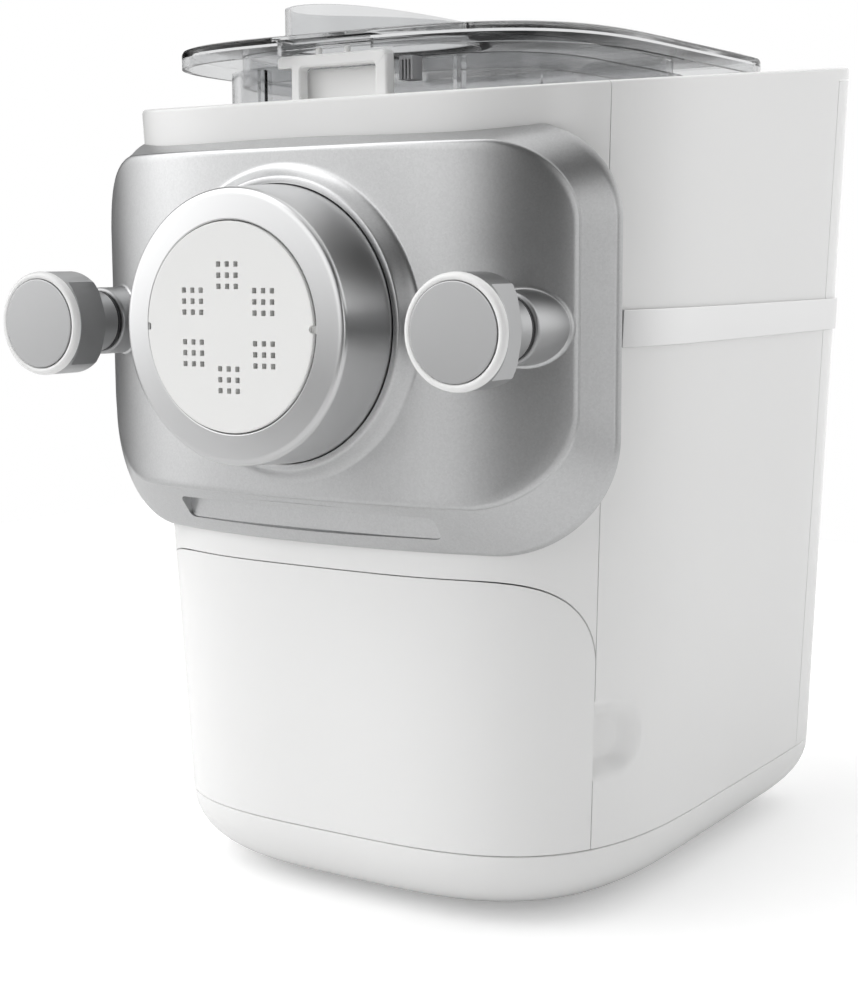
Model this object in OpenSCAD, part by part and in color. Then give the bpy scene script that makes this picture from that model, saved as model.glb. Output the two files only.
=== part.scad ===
// Electric pasta maker: tapered housing, silver front panel with a turning cap ring and two lock
// knobs, a clear mixing chamber and lid on top, a storage drawer below, geared motor inside.
// X is across the front, Y runs from the shaping disc (negative) to the rear cover, Z is up.

/* [Housing] */
// Depth of the housing behind the mixing chamber
drive_room = 86; // [80:1:130]
// Width of the housing at the table
base_w = 196; // [186:1:260]
// How far each side wall leans outwards up to the front top edge
side_lean = 9.5; // [6:0.5:14]
// Height of the front top edge above the extruder axis
top_up = 74.5; // [70:0.5:110]
// Rise of the top edge for each millimetre towards the rear
top_rise = 0.1; // [0:0.01:0.14]
// How far the front wall leans forwards from the table to the top edge
front_lean = 16; // [4:1:24]
// How far the rear wall leans backwards over its height
rear_lean = 8; // [0:1:20]
// Setback of the front wall at the table, behind the shaping disc
front_setback = 53.5; // [48:0.5:70]
// Squareness of the front corners in plan
front_square = 3.43; // [2.6:0.01:6]
// Squareness of the rear corners in plan
rear_square = 12; // [6:1:16]
// Wall of the moulded covers
wall = 3; // [2.4:0.1:4]
// Height of the seam between base pan and covers
base_seam_h = 28; // [22:1:36]
// Radius of the lower edge of the base pan
base_round = 26; // [12:1:30]
// Height of the rubber feet below the base pan
foot_h = 3; // [2:0.5:8]
// Open seam between neighbouring covers
seam = 0.4; // [0.2:0.1:1]

/* [Drawer] */
// Height of the drawer's top edge above the table
drawer_top = 125; // [100:1:128]
// Distance of the front seams behind the shaping disc, at the table
side_seam = 85; // [80:1:92]
// How far the front seams lean forwards from the table to the top edge
seam_lean = 8.5; // [0:0.5:12]
// Corner radius of the drawer front at the sides
drawer_round = 32; // [10:1:34]
// Half height of the finger recess behind the drawer's edge
recess_r = 15; // [12:1:20]
// Length of the finger recess behind the drawer's edge
recess_len = 23; // [18:1:30]

/* [Extruder] */
// Height of the extruder axis above the table
axis_h = 210; // [204:1:260]
// Diameter of the visible face of the shaping disc
disc_d = 68.2; // [60:0.2:72]
// Outer diameter of the cap ring
cap_d = 90; // [86:1:108]
// Depth of the cap ring
cap_len = 24.5; // [20:0.5:26]
// Bore of the extruder tube
tube_bore = 48; // [40:1:58]
// Pitch circle radius of the hole groups
group_r = 16.8; // [14:0.1:20]
// Spacing of the holes inside a group
hole_pitch = 3.56; // [3:0.01:4]
// Side of each square hole
hole_side = 1.8; // [1.2:0.1:2.4]

/* [Front panel] */
// How far the panel reaches past the width of the housing at the table, on each side
panel_over = 10; // [6:0.5:14]
// Width of the bevel at each side of the flat face
bevel_side = 9.5; // [6:0.5:14]
// Distance of the panel face behind the shaping disc, at the middle
face_setback = 30; // [28:0.5:36]
// How far the face curves back at its side edges
face_bow = 23; // [14:1:28]
// Height of the face above and below the extruder axis
face_up = 58.5; // [52:0.5:64]
// Height of the bevel above the extruder axis
bevel_up = 65; // [62:0.5:70]
// Depth of the bevel below the extruder axis
bevel_down = 76; // [68:0.5:80]
// Thickness of the panel shell
panel_wall = 2.8; // [2:0.1:4]
// Distance of each lock knob's axis from the side of the housing at the table
knob_inset = 13; // [11:0.5:20]
// Diameter of the lock knobs
knob_d = 36; // [30:0.5:43]
// Length of the lock knobs
knob_len = 29; // [24:0.5:30]
// Width of the rim round each knob's face cap
knob_rim = 2.6; // [1.6:0.1:4]

/* [Mixing chamber and lid] */
// Setback of the chamber behind the shaping disc
chamber_setback = 70; // [66:1:74]
// Width of the chamber at its open top
chamber_w = 145; // [132:1:150]
// Radius of the round trough at the bottom of the chamber
trough_r = 60; // [56:1:70]
// Length of the chamber
chamber_len = 130; // [120:1:160]
// Height of the chamber's rim above the deck, at the rear edge of the lid
chamber_rise = 1.25; // [1.25:0.25:20]
// Wall of the clear chamber
chamber_wall = 2.6; // [2:0.1:3.2]
// How far the lid reaches past the chamber at the front
lid_ahead = 17; // [15:1:18]
// How far the lid reaches past the chamber at each side
lid_side = 18.5; // [15:0.5:20]
// How far the lid reaches past the chamber at the rear
lid_behind = 30; // [25:1:31]
// Height of the lid's rim
lid_rim = 6.5; // [5:0.5:10]
// Height of the pour collar above the lid
collar_h = 15; // [8:1:24]

/* [Drive] */
// Tooth size of the gears
gear_module = 1.5; // [1.2:0.1:1.8]
// Teeth of the two small gears
pinion_teeth = 15; // [14:1:18]
// Teeth of the intermediate gear
mid_teeth = 57; // [50:1:60]
// Teeth of the output gear
out_teeth = 61; // [54:1:64]
// Diameter of the motor
motor_d = 60; // [50:1:66]
// Length of the motor
motor_len = 52; // [40:1:56]

/* [Hidden] */
$fn = 64;

// Gap between a sliding or turning piece and its seat
play = 0.3;
// Radial gap of a shaft in its bearing
shaft_play = 0.05;
// Gap between pieces that are fixed into each other
fit_gap = 0.02;
// Overlap of shapes joined into one piece
eps = 0.01;
// Points round the outline of the housing, and round each turned ring
outline_points = 72;
ring_fn = 96;

// ---- main lines --------------------------------------------------------------------------------

overall_depth = chamber_setback + chamber_len + drive_room;
face_y = -overall_depth / 2;
front_h = axis_h + top_up;
rear_h = front_h + top_rise * (overall_depth - front_setback + front_lean);
panel_w = base_w + 2 * panel_over;
face_w = panel_w - 2 * bevel_side;
knob_x = base_w / 2 - knob_inset;

chamber_front = face_y + chamber_setback;
chamber_back = chamber_front + chamber_len;
deck_drop = 5;
chamber_top = top_z(chamber_back + lid_behind) - deck_drop + chamber_rise;
chamber_up = chamber_top - axis_h;

// The frame's floor, its front edge, and the wall that carries the motor and the gearbox
frame_z = 28;
frame_t = 2;
frame_back = chamber_back + 3;
frame_wall = 4;
frame_hw = base_w / 2 - wall - 3.5;
shelf_z = drawer_top + 3;
frame_front = corner_y(frame_hw + 0.5, shelf_z, wall);
tray_w = 2 * (frame_hw - 11.5);
rod_r = 4;
rod_block_l = 14;
boss_r = 12;
boss_y = face_y + knob_len + 2;

mid_z = axis_h - gear_module * (pinion_teeth + out_teeth) / 2;
motor_z = mid_z - gear_module * (pinion_teeth + mid_teeth) / 2;
gearbox_y = frame_back + frame_wall;
gearbox_len = 34;
gearbox_wall = 2.6;
board_y = gearbox_y + gearbox_len + 10;

// ---- outline of the housing ------------------------------------------------------------------

function half_w(z) = base_w / 2 + side_lean * z / front_h;
function front_y(z) = face_y + front_setback - front_lean * z / front_h;
function rear_y(z) = overall_depth / 2 - rear_lean * (1 - z / rear_h);
function seam_y(z) = face_y + side_seam - seam_lean * z / front_h;
function top_z(y) = front_h + top_rise * (y - front_y(front_h));
function rounded_sign(v, n) = sign(v) * pow(abs(v), 2 / n);
// Half width of the front part at depth y and height z
function side_x(y, z) =
    let (mid = (front_y(z) + rear_y(z)) / 2, half_len = (rear_y(z) - front_y(z)) / 2)
    half_w(z) * pow(1 - pow((mid - y) / half_len, front_square), 1 / front_square);

// Depth at which the rounded front corner, moved inwards by inset, reaches half width x
function corner_y(x, z, inset) =
    let (mid = (front_y(z) + rear_y(z)) / 2, half_len = (rear_y(z) - front_y(z)) / 2 - inset)
    mid - half_len * pow(1 - pow(x / (half_w(z) - inset), front_square), 1 / front_square);

// One point of the outline at height z, moved inwards by inset
function wall_point(i, z, inset) =
    let (t = 360 * (i + 0.5) / outline_points,
         n = sin(t) < 0 ? front_square : rear_square,
         mid = (front_y(z) + rear_y(z)) / 2,
         half_len = (rear_y(z) - front_y(z)) / 2)
    [(half_w(z) - inset) * rounded_sign(cos(t), n),
     mid + (half_len - inset) * rounded_sign(sin(t), n), z];
function wall_ring(z, inset) = [for (i = [0:outline_points - 1]) wall_point(i, z, inset)];
// The sloping top ring, lowered by drop
function top_ring(inset, drop) =
    [for (i = [0:outline_points - 1])
        wall_point(i, top_z(wall_point(i, front_h, 0).y) - drop, inset)];

// A closed solid through a stack of rings with equal counts of points; the end caps are strips
// between the two mirrored halves of a ring, so a cap may be curved
module loft(rings) {
    n = len(rings[0]);
    k = len(rings);
    last = (k - 1) * n;
    sides = [for (a = [0:k - 2], i = [0:n - 1])
        let (p = a * n + i, q = a * n + (i + 1) % n)
        each [[p, p + n, q + n], [p, q + n, q]]];
    caps = [for (j = [0:n / 2 - 2])
        each [[j, j + 1, n - 2 - j], [j, n - 2 - j, n - 1 - j],
              [last + j, last + n - 2 - j, last + j + 1],
              [last + j, last + n - 1 - j, last + n - 2 - j]]];
    polyhedron(points = [for (r = rings) each r], faces = concat(sides, caps), convexity = 6);
}

module housing_solid(z0, inset, drop) loft([wall_ring(z0, inset), top_ring(inset, drop)]);

// The wall of the covers, from the base seam to the sloping top edge
module cover_wall() {
    difference() {
        housing_solid(base_seam_h + seam / 2, 0, 0);
        housing_solid(base_seam_h - 1, wall, -1);
    }
}

// Turns a drawing in the YZ plane into a block across the whole width
module across() {
    rotate([90, 0, 90]) linear_extrude(3 * base_w, center = true) children();
}

// Places children at a point with their own axis pointing to the rear
module on_axis_x(x, y, z) translate([x, y, z]) rotate([-90, 0, 0]) children();
module on_axis(y, z) on_axis_x(0, y, z) children();

// Side view of all that lies in front of the leaning front seam
side_view_front = face_y - 10;
module front_profile(grow) {
    high = 2 * front_h;
    polygon([[side_view_front, 0], [seam_y(0) + grow, 0], [seam_y(high) + grow, high],
             [side_view_front, high]]);
}

// Side view of the drawer front, with its round upper corner
module drawer_profile(grow) {
    r = drawer_round;
    z1 = drawer_top + grow;
    y1 = seam_y(z1 - r) + grow;
    polygon([[side_view_front, 0], [seam_y(0) + grow, 0], [y1, z1 - r], [side_view_front, z1 - r]]);
    translate([side_view_front, z1 - r - 1]) square([y1 - side_view_front - r, r + 1]);
    translate([y1 - r, z1 - r]) circle(r);
}

// Side view of all that lies behind the rear seam, below a narrow strip along the top edge
rear_cover_depth = 30;
top_strip = 5;
module rear_profile(grow) {
    y_low = rear_y(0) - rear_cover_depth - grow;
    y_top = rear_y(rear_h) - rear_cover_depth - grow;
    polygon([[y_low, -1], [y_top, top_z(y_top) - top_strip + grow],
             [overall_depth, top_z(overall_depth) - top_strip + grow], [overall_depth, -1]]);
}

// ---- housing -----------------------------------------------------------------------------------

foot_r = 9;
foot_x = base_w / 2 - 42;
foot_spots = [for (sx = [-1, 1], y = [front_y(0) + 52, rear_y(0) - 40]) [sx * foot_x, y]];
// Screws from below into the frame's floor
screw_r = 1.6;
screw_head_r = 3.4;
screw_spots = [for (sx = [-1, 1], y = [frame_front + 38.5, frame_back - 12]) [sx * foot_x, y]];
floor_vent = [3, 40];

// Bowl of the base pan: an elliptical lower edge, then up to the seam
module pan_solid(inset, lift) {
    steps = 4;
    h = base_seam_h - foot_h - 1;
    loft(concat(
        [for (k = [0:steps]) let (a = 90 * k / steps)
            wall_ring(foot_h + lift + (h - lift) * (1 - cos(a)), inset + base_round * (1 - sin(a)))],
        [wall_ring(base_seam_h - seam / 2 + (inset > 0 ? 1 : 0), inset)]));
}

module base_pan() {
    color("whitesmoke") difference() {
        union() {
            difference() {
                pan_solid(0, 0);
                pan_solid(wall, wall);
            }
            for (p = foot_spots) translate([p.x, p.y, foot_h]) cylinder(r = foot_r + 2.5, h = 5);
            for (p = screw_spots) translate([p.x, p.y, foot_h])
                cylinder(r = screw_head_r + 1.6, h = frame_z - foot_h - play);
        }
        for (p = foot_spots) translate([p.x, p.y, foot_h - 1]) cylinder(r = foot_r + 0.1, h = 3);
        for (p = screw_spots) translate([p.x, p.y, foot_h - 1]) {
            cylinder(r = screw_r + 0.2, h = frame_z);
            cylinder(r = screw_head_r + 0.2, h = 4);
        }
        for (k = [-4:4]) translate([k * 8 - floor_vent.x / 2, rear_y(0) - 110, foot_h - 1])
            cube([floor_vent.x, floor_vent.y, wall + 2]);
    }
}

module rubber_feet() {
    color("dimgray") for (p = foot_spots) translate([p.x, p.y, 0]) {
        cylinder(r = foot_r - 1, h = 1);
        translate([0, 0, 1 - eps]) cylinder(r = foot_r, h = foot_h + 1 + eps);
    }
}

module front_shell() {
    color("whitesmoke") difference() {
        intersection() {
            cover_wall();
            across() front_profile(-seam / 2);
        }
        across() drawer_profile(seam / 2);
        on_axis(face_y, axis_h) cylinder(r = tube_r + 2.5, h = side_seam);
        for (sx = [-1, 1]) on_axis_x(sx * knob_x, face_y, axis_h)
            cylinder(r = spindle_r + 1, h = side_seam + 1);
    }
}

recess_z = drawer_top - 58;
recess_wall = 2.5;
recess_end = seam_y(recess_z) + recess_len;
// The recess gets as deep at the seam as the tray beside it allows
recess_tilt = atan((side_x(recess_end, recess_z) - tray_w / 2 - recess_wall - 1.6) / recess_len);

// Finger recess: round at its rear end, open at the seam, its floor sloping inwards to the seam
module finger_dish(grow, sx) {
    r = recess_r + grow;
    deep = 30;
    mirror([sx < 0 ? 1 : 0, 0, 0])
        translate([side_x(recess_end, recess_z) - recess_r * sin(recess_tilt),
                   recess_end - recess_r * cos(recess_tilt), recess_z])
            rotate([0, 0, -recess_tilt]) rotate([0, 90, 0]) translate([0, 0, -grow]) {
                cylinder(r = r, h = deep);
                translate([-r, -recess_len, 0]) cube([2 * r, recess_len, deep]);
            }
}

module side_shell(sx) {
    difference() {
        union() {
            intersection() {
                cover_wall();
                translate([sx > 0 ? seam / 2 : -base_w, face_y, 0])
                    cube([base_w - seam / 2, 2 * overall_depth, 2 * front_h]);
            }
            intersection() {
                finger_dish(recess_wall, sx);
                housing_solid(base_seam_h + seam / 2, 0.5, 0);
            }
        }
        finger_dish(0, sx);
        across() front_profile(seam / 2);
        across() rear_profile(seam / 2);
    }
}
module side_shell_left() color("whitesmoke") side_shell(-1);
module side_shell_right() color("whitesmoke") side_shell(1);

gland_z = 52;
gland_x = 58;
gland_r = 8;
cord_r = 3.6;
vent_w = 3;
vent_h = 26;
module rear_cover() {
    color("whitesmoke") difference() {
        intersection() {
            cover_wall();
            across() rear_profile(-seam / 2);
        }
        for (k = [-7:7], z = [90, 126]) translate([k * 8 - vent_w / 2, rear_y(0) - 20, z])
            cube([vent_w, 60, vent_h]);
        on_axis_x(gland_x, rear_y(0) - 20, gland_z) cylinder(r = gland_r, h = 60);
    }
}

// Rubber bush at the cord entry
module cord_gland() {
    color("dimgray") on_axis_x(gland_x, rear_y(gland_z) - wall - 3, gland_z) difference() {
        union() {
            cylinder(r = gland_r - 0.1, h = wall + 3);
            cylinder(r = gland_r + 2, h = 2.4);
        }
        translate([0, 0, -1]) cylinder(r = cord_r, h = wall + 6);
    }
}

band_up = 4.5;
band_down = 8;
band_front = 85;
band_thick = 0.9;
module trim_band() {
    z0 = axis_h - band_down;
    z1 = axis_h + band_up;
    color("silver") difference() {
        loft([wall_ring(z0, -band_thick), wall_ring(z1, -band_thick)]);
        loft([wall_ring(z0 - 1, -0.1), wall_ring(z1 + 1, -0.1)]);
        translate([-base_w, face_y - 20, 0]) cube([2 * base_w, band_front + 20, 2 * axis_h]);
    }
}

// ---- top deck and controls -----------------------------------------------------------------------

deck_t = 3;
deck_gap = 0.3;
fascia_w = 150;
fascia_l = 42;
fascia_t = 3;
tilt = atan(top_rise);
// Middle of the control fascia, on the deck
fascia_y = overall_depth / 2 - 34;
fascia_z = top_z(fascia_y) - deck_drop + 0.35;
button_r = 5.5;
button_play = 0.35;
button_up = 1.2;
button_low = 2.4;
start_spot = [54, 0];
start_r = 9;
program_spots = [for (k = [0:2]) [-62 + 15 * k, -9]];
minus_spot = [-55, 10];
plus_spot = [-39, 10];
display_spot = [10, 0];
display_w = 52;
display_l = 24;
board_drop = 10;
switch_h = 2;

// Places children on the sloping deck, at the middle of the control fascia
module on_fascia() {
    translate([0, fascia_y, fascia_z]) rotate([tilt, 0, 0]) children();
}

module top_deck() {
    inset = wall + deck_gap;
    color("whitesmoke") difference() {
        loft([top_ring(inset, deck_drop + deck_t), top_ring(inset, deck_drop)]);
        translate([0, 0, axis_h]) linear_extrude(front_h) chamber_plan(-2);
        latch_slots();
        on_fascia() translate([-fascia_w / 2 + 5, -fascia_l / 2 + 3.5, -10])
            cube([fascia_w - 10, fascia_l - 7, 20]);
    }
}

module control_fascia() {
    color("darkslategray") on_fascia() difference() {
        translate([-fascia_w / 2, -fascia_l / 2, 0.1]) cube([fascia_w, fascia_l, fascia_t]);
        translate([display_spot.x - display_w / 2, display_spot.y - display_l / 2, 1.2])
            cube([display_w, display_l, 10]);
        translate([display_spot.x - display_w / 2 + 2, display_spot.y - display_l / 2 + 2, -1])
            cube([display_w - 4, display_l - 4, 10]);
        for (p = concat(program_spots, [minus_spot, plus_spot])) translate([p.x, p.y, -1])
            cylinder(r = button_r + button_play, h = 10);
        translate([start_spot.x, start_spot.y, -1]) cylinder(r = start_r + button_play, h = 10);
    }
}

module display_window() {
    gap = 0.1;
    color("black") on_fascia()
        translate([display_spot.x - display_w / 2 + gap, display_spot.y - display_l / 2 + gap, 1.3])
            cube([display_w - 2 * gap, display_l - 2 * gap, fascia_t - 1.1]);
}

// A push button: cap through the fascia, collar below it and a stem down to its switch
module push_button(spot, r) {
    color("white") on_fascia() translate([spot.x, spot.y, -button_low]) {
        cylinder(r = r, h = button_low + fascia_t + button_up);
        cylinder(r = r + 1.2, h = 1.4);
        translate([0, 0, button_low - board_drop + switch_h + button_up])
            cylinder(r = 1.5, h = board_drop - switch_h - button_up - button_low + 0.6);
    }
}
module start_button() push_button(start_spot, start_r);
module program_button_1() push_button(program_spots[0], button_r);
module program_button_2() push_button(program_spots[1], button_r);
module program_button_3() push_button(program_spots[2], button_r);
module minus_button() push_button(minus_spot, button_r);
module plus_button() push_button(plus_spot, button_r);

module control_board() {
    board_t = 1.6;
    color("darkgreen") on_fascia() {
        translate([-fascia_w / 2 + 6, -fascia_l / 2 + 6, -board_drop - board_t])
            cube([fascia_w - 12, fascia_l - 12, board_t]);
        for (p = concat(program_spots, [minus_spot, plus_spot, start_spot]))
            translate([p.x - 3, p.y - 3, -board_drop - eps]) cube([6, 6, switch_h]);
        for (sx = [-1, 1]) translate([sx * (fascia_w / 2 - 8.4), 0, -board_drop - eps])
            cylinder(r = 2, h = board_drop);
        translate([display_spot.x - 20, -8, -board_drop - eps]) cube([40, 16, 8]);
    }
}

// ---- drawer ------------------------------------------------------------------------------------

tray_front = front_y(0) + 12;
tray_back = frame_back - motor_len - 13;
tray_z0 = 37;
tray_z1 = drawer_top - 12;
tray_wall = 2;
tongue_w = 8;
tongue_h = 60;
runner_w = 5;

module drawer_front() {
    color("whitesmoke") intersection() {
        cover_wall();
        across() drawer_profile(-seam / 2);
    }
}

// Box of the tray inside the curved front, shrunk by inset at sides and floor
module tray_block(inset, extra) {
    intersection() {
        translate([inset - tray_w / 2, tray_front + inset, tray_z0 + inset])
            cube([tray_w - 2 * inset, tray_back - tray_front - 2 * inset,
                  tray_z1 - tray_z0 - inset + extra]);
        housing_solid(base_seam_h + 1, wall + 0.8 + inset, 10);
    }
}

module drawer_tray() {
    color("white") {
        difference() {
            tray_block(0, 0);
            tray_block(tray_wall, 5);
        }
        // Tongues that hold the curved front
        for (k = [-1.5:1:1.5]) intersection() {
            translate([(k * tray_w - 2 * tongue_w) / 4, face_y, tray_z0])
                cube([tongue_w, tray_front - face_y + 1, tongue_h]);
            housing_solid(base_seam_h + 1, wall + 0.1, 10);
        }
    }
}

// Two rails on the frame's floor, under the edges of the tray
module drawer_runners() {
    floor_top = frame_z + frame_t;
    color("gray") for (sx = [-1, 1])
        translate([sx * (tray_w / 2 - 14) - runner_w / 2, tray_front + 8, floor_top])
            cube([runner_w, tray_back - tray_front - 8, tray_z0 - floor_top - 0.1]);
}

// ---- inner frame -------------------------------------------------------------------------------

tube_r = tube_bore / 2 + 7;
module inner_frame() {
    depth = frame_back - frame_front;
    step = 16;
    side_start = recess_end + 12;
    block_x = knob_x - 7;
    color("lightgray") difference() {
        union() {
            translate([-frame_hw, frame_front + step, frame_z])
                cube([2 * frame_hw, depth - step, frame_t]);
            translate([6 - frame_hw, frame_front, frame_z])
                cube([2 * frame_hw - 12, step + 1, frame_t]);
            for (sx = [0, 1]) mirror([sx, 0, 0]) {
                translate([frame_hw - frame_t, side_start, frame_z])
                    cube([frame_t, frame_back - side_start, shelf_z - frame_z]);
                translate([frame_hw - frame_t, frame_front, shelf_z])
                    cube([frame_t, depth, axis_h + 14 - shelf_z]);
                translate([block_x, frame_front, axis_h - 10])
                    cube([frame_hw - block_x, rod_block_l, 20]);
            }
            translate([-frame_hw, frame_front, shelf_z]) cube([2 * frame_hw, depth, frame_t]);
            translate([-frame_hw, frame_back, frame_z])
                cube([2 * frame_hw, frame_wall, axis_h + 50 - frame_z]);
            // Saddle under the chamber's trough
            for (y = [frame_front + 20, frame_back - 30]) translate([-40, y, shelf_z])
                cube([80, 4, axis_h - trough_r - shelf_z + 8]);
        }
        // Room for the motor in the shelf and the saddle
        on_axis(frame_back - motor_len - 10, motor_z) cylinder(r = motor_d / 2 + 2, h = motor_len + 10);
        on_axis(frame_front - 1, axis_h) cylinder(r = trough_r + play, h = depth + 1);
        on_axis(frame_back - 1, axis_h) cylinder(r = 12, h = frame_wall + 2);
        on_axis(frame_back - 1, motor_z) cylinder(r = 9, h = frame_wall + 2);
        for (sx = [-1, 1]) on_axis_x(sx * knob_x, frame_front - 1, axis_h)
            cylinder(r = rod_r + fit_gap, h = rod_block_l + 2);
        for (p = screw_spots) translate([p.x, p.y, frame_z - 1])
            cylinder(r = screw_r + 0.05, h = frame_t + 2);
    }
}

module lock_rods() {
    chamfer = 1.6;
    color("silver") for (sx = [-1, 1]) on_axis_x(sx * knob_x, boss_y, axis_h) {
        cylinder(r1 = rod_r - 1.2, r2 = rod_r, h = chamfer);
        translate([0, 0, chamfer - 0.1])
            cylinder(r = rod_r, h = frame_front + rod_block_l - boss_y - chamfer + 0.1);
    }
}

// Weighing beam between pan and frame
module load_cell() {
    len = 80;
    side = 12;
    y = frame_back - len;
    z = foot_h + wall + 4;
    color("silver") difference() {
        union() {
            translate([-side / 2, y, z]) cube([side, len, side]);
            translate([-side / 2, y + 2, foot_h + wall + 0.1]) cube([side, 14, 5]);
            translate([-side / 2, y + len - 16, z + side - 1])
                cube([side, 14, frame_z - z - side + 0.9]);
        }
        for (dx = [-4, 4]) translate([-10, y + len / 2 + dx, z + side / 2]) rotate([0, 90, 0])
            cylinder(r = 4.2, h = 20);
    }
}

module case_screws() {
    color("silver") for (p = screw_spots) translate([p.x, p.y, foot_h + 0.4]) {
        cylinder(r = screw_head_r, h = 2.4);
        cylinder(r = screw_r, h = frame_z + frame_t - foot_h + 2);
    }
}

// ---- drive -------------------------------------------------------------------------------------

stage_1_y = gearbox_y + 5;
stage_2_y = stage_1_y + 11;
gear_face = 9;
shaft_r = 6;
pin_r = 3;
armature_r = 3;
bearing_r = 11;
bearing_l = 6;
gear_play = 0.12;
// Height of a tooth above the pitch circle, and depth of a gap below it
tooth_up = 0.85 * gear_module;
tooth_down = 1.1 * gear_module;
fan_l = 9;

function pitch_r(teeth) = gear_module * teeth / 2;
// Involute of a base circle of radius rb, at the point where the radius is r
function inv_angle(rb, r) = let (c = rb / r) tan(acos(c)) * 180 / PI - acos(c);
function polar(r, a) = [r * cos(a), r * sin(a)];

// Outline of a spur gear with 20 degree involute teeth and a little backlash
module gear_2d(teeth) {
    rp = pitch_r(teeth);
    rb = rp * cos(20);
    ra = rp + tooth_up;
    rf = rp - tooth_down;
    half = 90 / teeth - gear_play / rp * 90 / PI + inv_angle(rb, rp);
    r0 = max(rb, rf) + 0.01;
    radii = [for (k = [0:4]) r0 + (ra - r0) * k / 4];
    polygon([for (t = [0:teeth - 1]) let (c = 360 * t / teeth)
        each concat(
            [polar(rf, c - half - 0.4)],
            [for (r = radii) polar(r, c - half + inv_angle(rb, r))],
            [for (k = [4:-1:0]) polar(radii[k], c + half - inv_angle(rb, radii[k]))],
            [polar(rf, c + half + 0.4)])]);
}

// A small gear has a tooth straight up, and a large gear has a gap straight down to meet it
small_gear_turn = -90;
function large_gear_turn(teeth) = 90 + 180 / teeth;

// Six round holes in the web of a large gear, between its hub and its teeth
module web_holes(teeth, hub_r) {
    rim_r = pitch_r(teeth) - tooth_down;
    for (k = [0:5]) rotate(60 * k) translate([(rim_r + hub_r) / 2, 0, -1])
        cylinder(r = (rim_r - hub_r) / 4, h = gear_face + 2);
}

module motor_can() {
    end_l = 6;
    color("slategray") on_axis(frame_back - motor_len, motor_z) difference() {
        union() {
            cylinder(r = motor_d / 2, h = motor_len - end_l);
            cylinder(r = motor_d / 2 - 6, h = motor_len - 0.1);
        }
        translate([0, 0, -1]) cylinder(r = armature_r + 0.08, h = motor_len + 2);
        for (k = [0:7]) rotate(45 * k) translate([motor_d / 2 - 9, 0, -1]) cylinder(r = 3, h = 5);
    }
}

module armature_shaft() {
    y0 = frame_back - motor_len - fan_l;
    color("silver") on_axis(y0, motor_z)
        cylinder(r = armature_r, h = stage_1_y + gear_face + 1 - y0);
}

module motor_pinion() {
    color("gold") on_axis(stage_1_y - 1, motor_z) rotate(small_gear_turn) difference() {
        linear_extrude(gear_face + 1) gear_2d(pinion_teeth);
        translate([0, 0, -1]) cylinder(r = armature_r + fit_gap, h = gear_face + 3);
    }
}

module motor_fan() {
    blades = 9;
    plate_r = motor_d / 2 - 6;
    color("dimgray") on_axis(frame_back - motor_len - fan_l, motor_z) difference() {
        union() {
            cylinder(r = 8, h = fan_l - 1.5);
            translate([0, 0, fan_l - 3]) cylinder(r = plate_r, h = 1.5);
            for (k = [0:blades - 1]) rotate(360 * k / blades) translate([6, -0.6, 0])
                cube([plate_r - 7, 1.2, fan_l - 2.5]);
        }
        translate([0, 0, -1]) cylinder(r = armature_r + fit_gap, h = fan_l + 3);
    }
}

module intermediate_gear() {
    small_l = stage_2_y - stage_1_y + 2;
    color("gold") on_axis(stage_1_y, mid_z) difference() {
        union() {
            linear_extrude(gear_face) rotate(large_gear_turn(mid_teeth)) gear_2d(mid_teeth);
            translate([0, 0, gear_face - 1]) linear_extrude(small_l)
                rotate(small_gear_turn) gear_2d(pinion_teeth);
        }
        translate([0, 0, -1]) cylinder(r = pin_r + shaft_play, h = gear_face + small_l + 2);
        web_holes(mid_teeth, pitch_r(pinion_teeth) + tooth_up);
    }
}

module output_gear() {
    color("gold") on_axis(stage_2_y, axis_h) difference() {
        rotate(large_gear_turn(out_teeth)) linear_extrude(gear_face) gear_2d(out_teeth);
        translate([0, 0, -1]) cylinder(r = shaft_r + fit_gap, h = gear_face + 2);
        web_holes(out_teeth, shaft_r + 4);
    }
}

module gearbox_2d(grow) {
    hull() {
        translate([0, -axis_h]) circle(r = pitch_r(out_teeth) + 5 + grow);
        translate([0, -motor_z]) circle(r = pitch_r(pinion_teeth) + 12 + grow);
    }
    translate([0, -mid_z]) circle(r = pitch_r(mid_teeth) + 5 + grow);
}

module gearbox_housing() {
    color("gray") on_axis(gearbox_y, 0) difference() {
        linear_extrude(gearbox_len) gearbox_2d(gearbox_wall);
        translate([0, 0, gearbox_wall]) linear_extrude(gearbox_len) gearbox_2d(0);
        translate([0, -axis_h, -1]) cylinder(r = bearing_r + fit_gap, h = 10);
        translate([0, -motor_z, -1]) cylinder(r = 8, h = 10);
        translate([0, -mid_z, -1]) cylinder(r = pin_r + fit_gap, h = 10);
    }
}

// Cover with four posts that carry the main board
module gearbox_cover() {
    post_x = pitch_r(out_teeth) - 12;
    post_l = board_y - gearbox_y - gearbox_len;
    color("darkgray") on_axis(gearbox_y + gearbox_len, 0) difference() {
        union() {
            linear_extrude(gearbox_wall) gearbox_2d(gearbox_wall);
            for (sx = [-1, 1], z = [mid_z, axis_h]) translate([sx * post_x, -z, 0])
                cylinder(r = 3.5, h = post_l);
        }
        translate([0, -axis_h, -1]) cylinder(r = bearing_r + fit_gap, h = 10);
        translate([0, -mid_z, -1]) cylinder(r = pin_r + fit_gap, h = 10);
    }
}

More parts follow.
